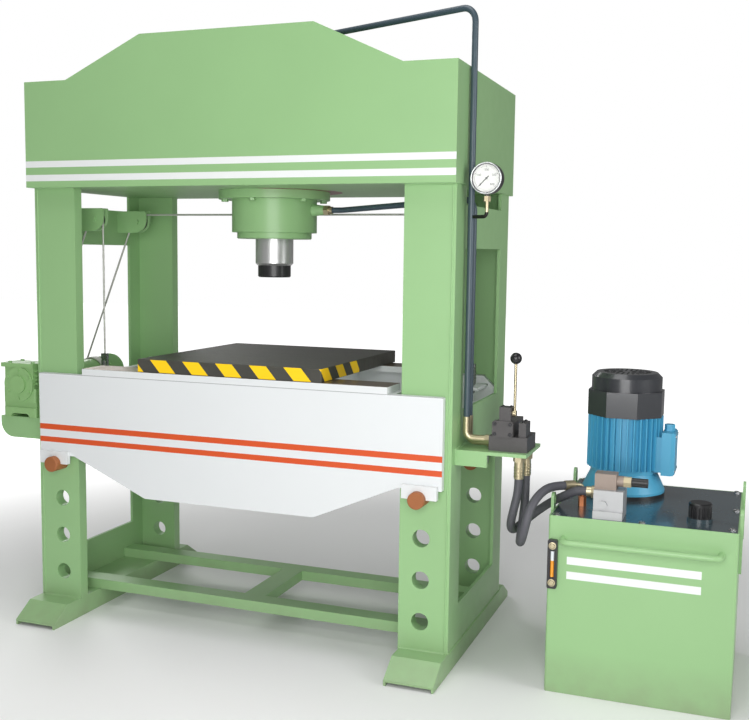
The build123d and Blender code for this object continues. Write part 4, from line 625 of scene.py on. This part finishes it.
case_low, case_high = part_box("gauge_case")
case_radius = (case_high[0] - case_low[0]) / 2
gauge_centre = np.array([(case_low[0] + case_high[0]) / 2, case_low[1], case_high[2] - case_radius])
DIAL_BACK, DIAL_RADIUS, DIAL_THICK, PRINT_LIFT = 0.008, 0.0468, 0.0004, 0.0007
DIAL_START, DIAL_SWEEP = radians(225), radians(270)
MARK_STEPS, LONG_MARK_EVERY, MARK_OUTER = 40, 10, 0.0435
LONG_MARK, SHORT_MARK = (0.036, 0.0011), (0.0395, 0.0006)
NUMBER_COUNT, NUMBER_STEP, NUMBER_RADIUS, NUMBER_SIZE = 5, 100, 0.028, 0.0105
BEZEL_PROFILE = [
    (0.0488, -0.001), (0.0532, -0.004), (0.0538, -0.001), (0.0536, 0.0015), (0.0524, 0.0028),
    (0.0504, 0.003), (0.0488, 0.0012),
]
DIAL_PROFILE = [(0.0002, 0), (DIAL_RADIUS, 0), (DIAL_RADIUS, DIAL_THICK), (0.0002, DIAL_THICK)]
dial = lathe(DIAL_PROFILE, gauge_centre + (0, DIAL_BACK, 0), FRONT_AXIS, 48)
mesh_piece("gauge_dial", *dial, "frame", dial_white, "table_white", smooth=False)
points, faces = lathe(BEZEL_PROFILE, gauge_centre, FRONT_AXIS, 64)
mesh_piece("gauge_bezel", points, faces[:-2], "frame", bezel_steel, "chrome")
print_centre = gauge_centre + (0, DIAL_BACK - PRINT_LIFT, 0)


def dial_mark(angle, inner, width):
    """Thin bar on the dial out to the marks' rim, at an angle anticlockwise from the right."""
    out = np.array([cos(angle), 0, sin(angle)])
    across = np.array([-sin(angle), 0, cos(angle)]) * width / 2
    bar = np.array([(inner, -1), (MARK_OUTER, -1), (MARK_OUTER, 1), (inner, 1)])
    return print_centre + bar[:, :1] * out + bar[:, 1:] * across, [[0, 1, 2, 3]]


def number_mesh(text, centre):
    """Points and faces of a short number standing upright in the XZ plane, centred on a place."""
    curve = bpy.data.curves.new("number", "FONT")
    curve.body = text
    curve.size = NUMBER_SIZE
    curve.align_x = "CENTER"
    curve.align_y = "CENTER"
    probe = bpy.data.objects.new("number", curve)
    bpy.context.scene.collection.objects.link(probe)
    flat = bpy.data.meshes.new_from_object(probe)
    points = np.array([vertex.co for vertex in flat.vertices])
    faces = [list(face.vertices) for face in flat.polygons]
    bpy.data.objects.remove(probe)
    return np.stack([points[:, 0], np.zeros(len(points)), points[:, 1]], axis=1) + centre, faces


marks = []
for step in range(MARK_STEPS + 1):
    inner, width = SHORT_MARK if step % LONG_MARK_EVERY else LONG_MARK
    marks.append(dial_mark(DIAL_START - DIAL_SWEEP * step / MARK_STEPS, inner, width))
joined_piece("gauge_marks", marks, dial_black, "needle_black")
numbers = []
for index in range(NUMBER_COUNT):
    angle = DIAL_START - DIAL_SWEEP * index / (NUMBER_COUNT - 1)
    centre = print_centre + (NUMBER_RADIUS * cos(angle), 0, NUMBER_RADIUS * sin(angle))
    numbers.append(number_mesh(str(index * NUMBER_STEP), centre))
joined_piece("gauge_numbers", numbers, dial_black, "needle_black")

# Screws of the tank's cover, from the middle of the tank
COVER_SCREWS = (
    (-0.276, -0.29), (0.0, -0.292), (0.278, -0.27), (0.284, 0.0),
    (0.278, 0.29), (0.0, 0.292), (-0.276, 0.29), (-0.284, 0.13),
)
WASHER_PROFILE = [(0.0125, 0), (0.0125, 0.0015), (0.009, 0.0015)]
tank_x, tank_y = (tank_low[0] + tank_high[0]) / 2, (tank_low[1] + tank_high[1]) / 2
heads = []
for x, y in COVER_SCREWS:
    centre = (tank_x + x, tank_y + y, tank_high[2])
    heads += [hex_head(centre, UP_AXIS, 0.0095, 0.006), lathe(WASHER_PROFILE, centre, UP_AXIS, 20)]
joined_piece("cover_screws", heads, bright_steel, "bare_steel")

# Screws of the lever valve: end cap, pivot block and manifold
valve_low, valve_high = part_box("valve_body")
manifold_low, manifold_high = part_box("manifold")
VALVE_X = valve_low[0] + 0.036
PIVOT_X = VALVE_X + 0.007
MANIFOLD_SCREW_X = manifold_high[0] - 0.0185
heads = [
    screw_head((VALVE_X + x, valve_low[1], valve_low[2] + z), FRONT_AXIS, 0.0062, 0.005)
    for x in (-0.027, 0.027) for z in (0.011, 0.046)
]
heads += [
    screw_head((PIVOT_X + x, valve_low[1] + y, valve_high[2]), UP_AXIS, 0.004, 0.0035)
    for x in (-0.014, 0.014) for y in (0.012, 0.038)
]
heads += [
    screw_head((MANIFOLD_SCREW_X, manifold_low[1] + y, manifold_high[2]), UP_AXIS, 0.0055, 0.005)
    for y in (0.020, 0.062)
]
joined_piece("valve_screws", heads, dark_steel, "dark_steel")

# Level gauge: crowned window with oil behind it, and its two hollow bolts
level_low, level_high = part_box("level_gauge")
level_x = (level_low[0] + level_high[0]) / 2
level_z = (level_low[2] + level_high[2]) / 2
OIL_LEVEL_Z = level_z + 0.012
WINDOW_HALF_WIDTH, WINDOW_HALF_HEIGHT, WINDOW_CROWN = 0.0062, 0.044, 0.0045
WINDOW_Y = level_low[1] + 0.0125
BOLT_OFFSETS = (-0.063, 0.063)
oil = placed_finish("oil behind the sight glass", GLASS_PALE, 0.15, coat=0.6)
oil = recolour(oil, below(oil.tree, oil.place[2], OIL_LEVEL_Z), OIL_ORANGE)
WINDOW_ROWS, WINDOW_COLUMNS = 14, 9
rise, side = np.meshgrid(
    np.linspace(-WINDOW_HALF_HEIGHT, WINDOW_HALF_HEIGHT, WINDOW_ROWS), np.linspace(-1, 1, WINDOW_COLUMNS),
    indexing="ij",
)
crown = WINDOW_CROWN * np.sqrt(np.minimum(1.02 - side ** 2, 1))
window = np.stack([level_x + WINDOW_HALF_WIDTH * side, WINDOW_Y - crown, level_z + rise], axis=-1)
window_faces = grid_faces(WINDOW_ROWS, WINDOW_COLUMNS, closed=False)
mesh_piece("level_window", window.reshape(-1, 3), window_faces, "frame", oil.finish, "glass")
BOLT_SEAT = [(0.0125, 0), (0.0125, 0.002), (0.009, 0.0025)]
heads = [
    lathe(BOLT_SEAT, (level_x, level_low[1] + 0.007, level_z + z), FRONT_AXIS, 24) for z in BOLT_OFFSETS
]
heads += [
    hex_head((level_x, level_low[1] + 0.0065, level_z + z), FRONT_AXIS, 0.0088, 0.0075) for z in BOLT_OFFSETS
]
joined_piece("level_bolts", heads, zinc, "zinc")

# Welds of the press frame, each side's places measured from the middle of the press
POST_INNER_X, WEB_EDGE_X, TOE_X = 0.673, 0.858, 0.679
WEB_SEAM_Y, BAR_LOW_Y, BAR_WIDTH = 0.37, (-0.240, 0.182), 0.075
upright_low, upright_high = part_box("uprights")
foot_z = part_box("feet")[1][2]
seams = []
for sign in (-1, 1):
    outer = PRESS_X + sign * (PRESS_X - upright_low[0])
    inner = PRESS_X + sign * POST_INNER_X
    for y in (upright_low[1], upright_high[1]):
        seams.append(weld_bead((inner, y, foot_z), (outer, y, foot_z)))
        seams.append(weld_bead((outer, y, foot_z + 0.004), (outer, y, HEAD_LOW_Z - 0.004), 0.003))
        seams.append(weld_bead((inner, y, HEAD_LOW_Z), (outer, y, HEAD_LOW_Z)))
    edge = PRESS_X + sign * WEB_EDGE_X
    seams.append(weld_bead((edge, -WEB_SEAM_Y, foot_z), (edge, WEB_SEAM_Y, foot_z)))
    toe = PRESS_X + sign * TOE_X
    seams += [weld_bead((toe, y, foot_z), (toe, y + BAR_WIDTH, foot_z)) for y in BAR_LOW_Y]
joined_piece("frame_welds", seams, green, "frame_green", smooth=True)

# Welds of the valve's shelf and of the winch's bracket
BRACKET_LOW_Z, BRACKET_TOP_Z, BRACKET_INNER_Y = 0.702, 0.786, -0.100
BEARING_Y, BEARING_LOW_Z, BEARING_TOP_Z = 0.280, 0.772, 0.924
(shelf_x, shelf_y, shelf_z), shelf_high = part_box("valve_shelf")
(_, winch_y, _), (winch_x, _, _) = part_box("winch_bracket")
seams = [
    weld_bead((shelf_x, shelf_y, shelf_high[2]), (shelf_x, shelf_high[1], shelf_high[2])),
    weld_bead((shelf_x, shelf_y, shelf_z), (shelf_x, shelf_y, shelf_high[2]), 0.0035),
    weld_bead((winch_x, winch_y, BRACKET_TOP_Z), (winch_x, BRACKET_INNER_Y, BRACKET_TOP_Z)),
    weld_bead((winch_x, winch_y, BRACKET_LOW_Z), (winch_x, winch_y, BRACKET_TOP_Z)),
    weld_bead((winch_x, BEARING_Y, BEARING_LOW_Z), (winch_x, BEARING_Y, BEARING_TOP_Z)),
]
joined_piece("bracket_welds", seams, green, "frame_green", smooth=True)

# Screws of the winch gearbox: a ring on its front cover and four on its top
COVER_RING, COVER_FACE_INSET = 0.058, 0.008
gear_low, gear_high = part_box("winch_gearbox")
drum_low, drum_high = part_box("winch_drum")
drum_x, drum_z = (drum_low[0] + drum_high[0]) / 2, (drum_low[2] + drum_high[2]) / 2
heads = []
for turn in np.radians(30 + 60 * np.arange(6)):
    spot = (drum_x + COVER_RING * cos(turn), gear_low[1] + COVER_FACE_INSET, drum_z + COVER_RING * sin(turn))
    heads.append(hex_head(spot, FRONT_AXIS, 0.006, 0.0045))
heads += [
    hex_head((x, y, gear_high[2]), UP_AXIS, 0.008, 0.006)
    for x in (gear_low[0] + 0.035, gear_high[0] - 0.022) for y in (gear_low[1] + 0.030, gear_high[1] - 0.042)
]
joined_piece("winch_screws", heads, winch_green, "winch_green")

# Motor cowl: thin black boxes on its top, painted shade of its air slots, and four screws round its rim
SLOT_RINGS = ((0.028, 10), (0.052, 18), (0.076, 26))
SLOT_HALF_LENGTH, SLOT_HALF_WIDTH, SLOT_THICK = 0.009, 0.0026, 0.0005
SLOT_FACES = [[0, 3, 2, 1], [4, 5, 6, 7], [0, 1, 5, 4], [1, 2, 6, 5], [2, 3, 7, 6], [3, 0, 4, 7]]
SLOT_RIM = np.array([(-1, -1), (1, -1), (1, 1), (-1, 1)]) * (SLOT_HALF_LENGTH, SLOT_HALF_WIDTH)
COWL_SCREW_RING, COWL_SCREW_RISE = 0.1292, 0.020
motor_low, motor_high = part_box("motor_body")
cowl_low, cowl_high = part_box("motor_cowl")
motor_axis = np.array([motor_low[0] + 0.134, (motor_low[1] + motor_high[1]) / 2, 0])
vent_shade_black = plain_finish("vent shadow", linear(12, 12, 14), 0.9)[0]


def slot_shade_box(angle, ring):
    """Flat closed box along the radius at an angle round the motor's axis, its middle on a ring; it is black,
    the painted shade inside an air slot.
    """
    out = np.array([cos(angle), sin(angle), 0])
    across = np.array([-sin(angle), cos(angle), 0])
    low = motor_axis + ring * out + (0, 0, cowl_high[2]) + SLOT_RIM[:, :1] * out + SLOT_RIM[:, 1:] * across
    return np.concatenate([low, low + (0, 0, SLOT_THICK)]), SLOT_FACES


slots = [slot_shade_box(2 * pi * index / count, ring) for ring, count in SLOT_RINGS for index in range(count)]
joined_piece("cowl_slot_shades", slots, vent_shade_black, "cowl_dark")
heads = []
for turn in np.radians(-67.5 + 90 * np.arange(4)):
    out = np.array([cos(turn), sin(turn), 0])
    spot = motor_axis + COWL_SCREW_RING * out + (0, 0, cowl_low[2] + COWL_SCREW_RISE)
    heads.append(hex_head(spot, out, 0.006, 0.004))
joined_piece("cowl_screws", heads, bright_steel, "bare_steel")

# Terminal box: lid with four screws
LID_HEIGHT, LID_THICK, LID_INSET, LID_CORNER, LID_BULGE = 0.150, 0.004, 0.011, 0.008, 0.0015
LID_SCREW_Y, LID_SCREW_Z = (-0.044, 0.044), (-0.062, 0.062)
box_low, box_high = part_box("terminal_box")
lid_low_z = box_low[2] + 0.002
lid_y, lid_z = (box_low[1] + box_high[1]) / 2, lid_low_z + LID_HEIGHT / 2
heads = [
    screw_head((box_high[0] + LID_THICK, lid_y + y, lid_z + z), X_AXIS, 0.005, 0.003)
    for y in LID_SCREW_Y for z in LID_SCREW_Z
]
joined_piece("terminal_screws", heads, bright_steel, "bare_steel")


def rounded_plate(low, high, radius, bulge):
    """Plate on an X face: a rounded rectangle in Y and Z carried over a thickness, its outer rim drawn in.

    Each corner's points are the corner's centre plus the radius times the cosine and sine of a quarter turn.
    """
    centre = (np.asarray(low) + np.asarray(high)) / 2
    half_y, half_z = (high[1] - low[1]) / 2 - radius, (high[2] - low[2]) / 2 - radius
    angle = (pi / 2 * np.arange(4)[:, None] + np.linspace(0, pi / 2, 8)).ravel()
    y = half_y * np.repeat([1, -1, -1, 1], 8) + radius * np.cos(angle)
    z = half_z * np.repeat([1, 1, -1, -1], 8) + radius * np.sin(angle)
    layers = [(low[0], 1.0), (high[0] - bulge, 1.0), (high[0], 1.0 - bulge * 12)]
    points = [
        np.stack([np.full_like(y, x), centre[1] + y * share, centre[2] + z * share], axis=1)
        for x, share in layers
    ]
    return np.concatenate(points), tube_faces(len(layers), len(angle))


lid = rounded_plate(
    (box_high[0], box_low[1] + LID_INSET, lid_low_z),
    (box_high[0] + LID_THICK, box_high[1] - LID_INSET, lid_low_z + LID_HEIGHT), LID_CORNER, LID_BULGE,
)
mesh_piece("terminal_lid", *lid, "frame", motor_blue, "motor_blue", smooth=False)

# Crimp rings on the hose ferrules
CRIMP_RADIUS, CRIMP_RISE, CRIMP_PITCH, CRIMP_LOW_Z = 0.0168, 0.0014, 0.010, 0.708
CRIMP_PROFILE = [
    (CRIMP_RADIUS, -0.003), (CRIMP_RADIUS + CRIMP_RISE, -0.0015),
    (CRIMP_RADIUS + CRIMP_RISE, 0.0015), (CRIMP_RADIUS, 0.003),
]
crimps = [
    lathe(CRIMP_PROFILE, (PRESS_X + x, y, CRIMP_LOW_Z + ring * CRIMP_PITCH), UP_AXIS, 24)
    for x, y, _ in (PRESSURE_ROUTE[0], RETURN_ROUTE[0]) for ring in range(4)
]
joined_piece("ferrule_crimps", crimps, zinc, "zinc", smooth=True)

# Camera at the photograph's view
FOCAL_PIXELS, PICTURE_WIDTH, SENSOR_WIDTH = 1029.7, 749, 36
AZIMUTH, PITCH, ROLL = radians(20.503), radians(5.926), radians(0.723)
CAMERA_PLACE = (1.824 + PRESS_X, -3.7244, 1.4694)
camera_data = bpy.data.cameras.new("photo_camera")
camera = bpy.data.objects.new("photo_camera", camera_data)
bpy.context.scene.collection.objects.link(camera)
bpy.context.scene.camera = camera
camera_data.sensor_width = SENSOR_WIDTH
camera_data.sensor_fit = "HORIZONTAL"
camera_data.lens = FOCAL_PIXELS * SENSOR_WIDTH / PICTURE_WIDTH
camera_data.clip_end = 60
ahead = Vector((-sin(AZIMUTH) * cos(PITCH), cos(AZIMUTH) * cos(PITCH), -sin(PITCH)))
level_right = ahead.cross(Vector((0, 0, 1))).normalized()
level_up = level_right.cross(ahead)
camera_right = level_right * cos(ROLL) + level_up * sin(ROLL)
camera_up = level_up * cos(ROLL) - level_right * sin(ROLL)
turn = Matrix((camera_right, camera_up, -ahead)).transposed()
camera.matrix_world = Matrix.Translation(CAMERA_PLACE) @ turn.to_4x4()


def lamp(name, place, aim, size, power):
    """Soft square lamp that faces a point and isn't seen itself."""
    data = bpy.data.lights.new(name, "AREA")
    data.shape = "SQUARE"
    data.size = size
    data.energy = power
    thing = bpy.data.objects.new(name, data)
    bpy.context.scene.collection.objects.link(thing)
    thing.location = place
    thing.visible_camera = False
    thing.rotation_euler = (Vector(aim) - Vector(place)).to_track_quat("-Z", "Y").to_euler()


lamp("key", (1.0, -3.4, 1.5), (0.0, 0, 1.1), 2.0, 78)
lamp("side", (5.0, -1.2, 2.2), (0.4, 0, 1.4), 2.4, 84)
lamp("top", (-0.5, -1.0, 5.0), (-0.4, 0, 0), 3.0, 90)
lamp("back", (-4.0, 3.4, 3.5), (-0.2, 0, 1.1), 2.2, 75)

# World: dim light all round, white where it is seen
WORLD_LIGHT = 0.2
world = bpy.data.worlds.new("studio")
world.use_nodes = True
backdrop = world.node_tree.nodes["Background"]
backdrop.inputs[0].default_value = (1, 1, 1, 1)
seen = world.node_tree.nodes.new("ShaderNodeLightPath").outputs["Is Camera Ray"]
extra = calc(world.node_tree, "MULTIPLY", seen, 1 - WORLD_LIGHT)
world.node_tree.links.new(calc(world.node_tree, "ADD", extra, WORLD_LIGHT), backdrop.inputs[1])
bpy.context.scene.world = world
bpy.context.scene.view_settings.view_transform = "Standard"

# Floor: white, and seen to glow further out so that it runs into the backdrop
FLOOR_NEAR, FLOOR_FAR, FLOOR_HALF, FLOOR_Z = 1.6, 4.6, 20, -0.0005
studio = placed_finish("studio floor", (0.85, 0.85, 0.85), 0.7)
tree, shader, place = studio.tree, studio.shader, studio.place
ramp = tree.nodes.new("ShaderNodeMapRange")
ramp.interpolation_type = "SMOOTHSTEP"
ramp.inputs["From Min"].default_value = FLOOR_NEAR
ramp.inputs["From Max"].default_value = FLOOR_FAR
tree.links.new(distance(tree, place[0], place[1]), ramp.inputs["Value"])
shader.inputs["Emission Color"].default_value = (1, 1, 1, 1)
seen = tree.nodes.new("ShaderNodeLightPath").outputs["Is Camera Ray"]
tree.links.new(calc(tree, "MULTIPLY", ramp.outputs[0], seen), shader.inputs["Emission Strength"])
corners = [(x * FLOOR_HALF, y * FLOOR_HALF, FLOOR_Z) for x, y in ((-1, -1), (1, -1), (1, 1), (-1, 1))]
floor_mesh = bpy.data.meshes.new("studio_floor")
floor_mesh.from_pydata(corners, [], [(0, 1, 2, 3)])
floor_mesh.materials.append(studio.finish)
floor = bpy.data.objects.new("studio_floor", floor_mesh)
bpy.context.scene.collection.objects.link(floor)
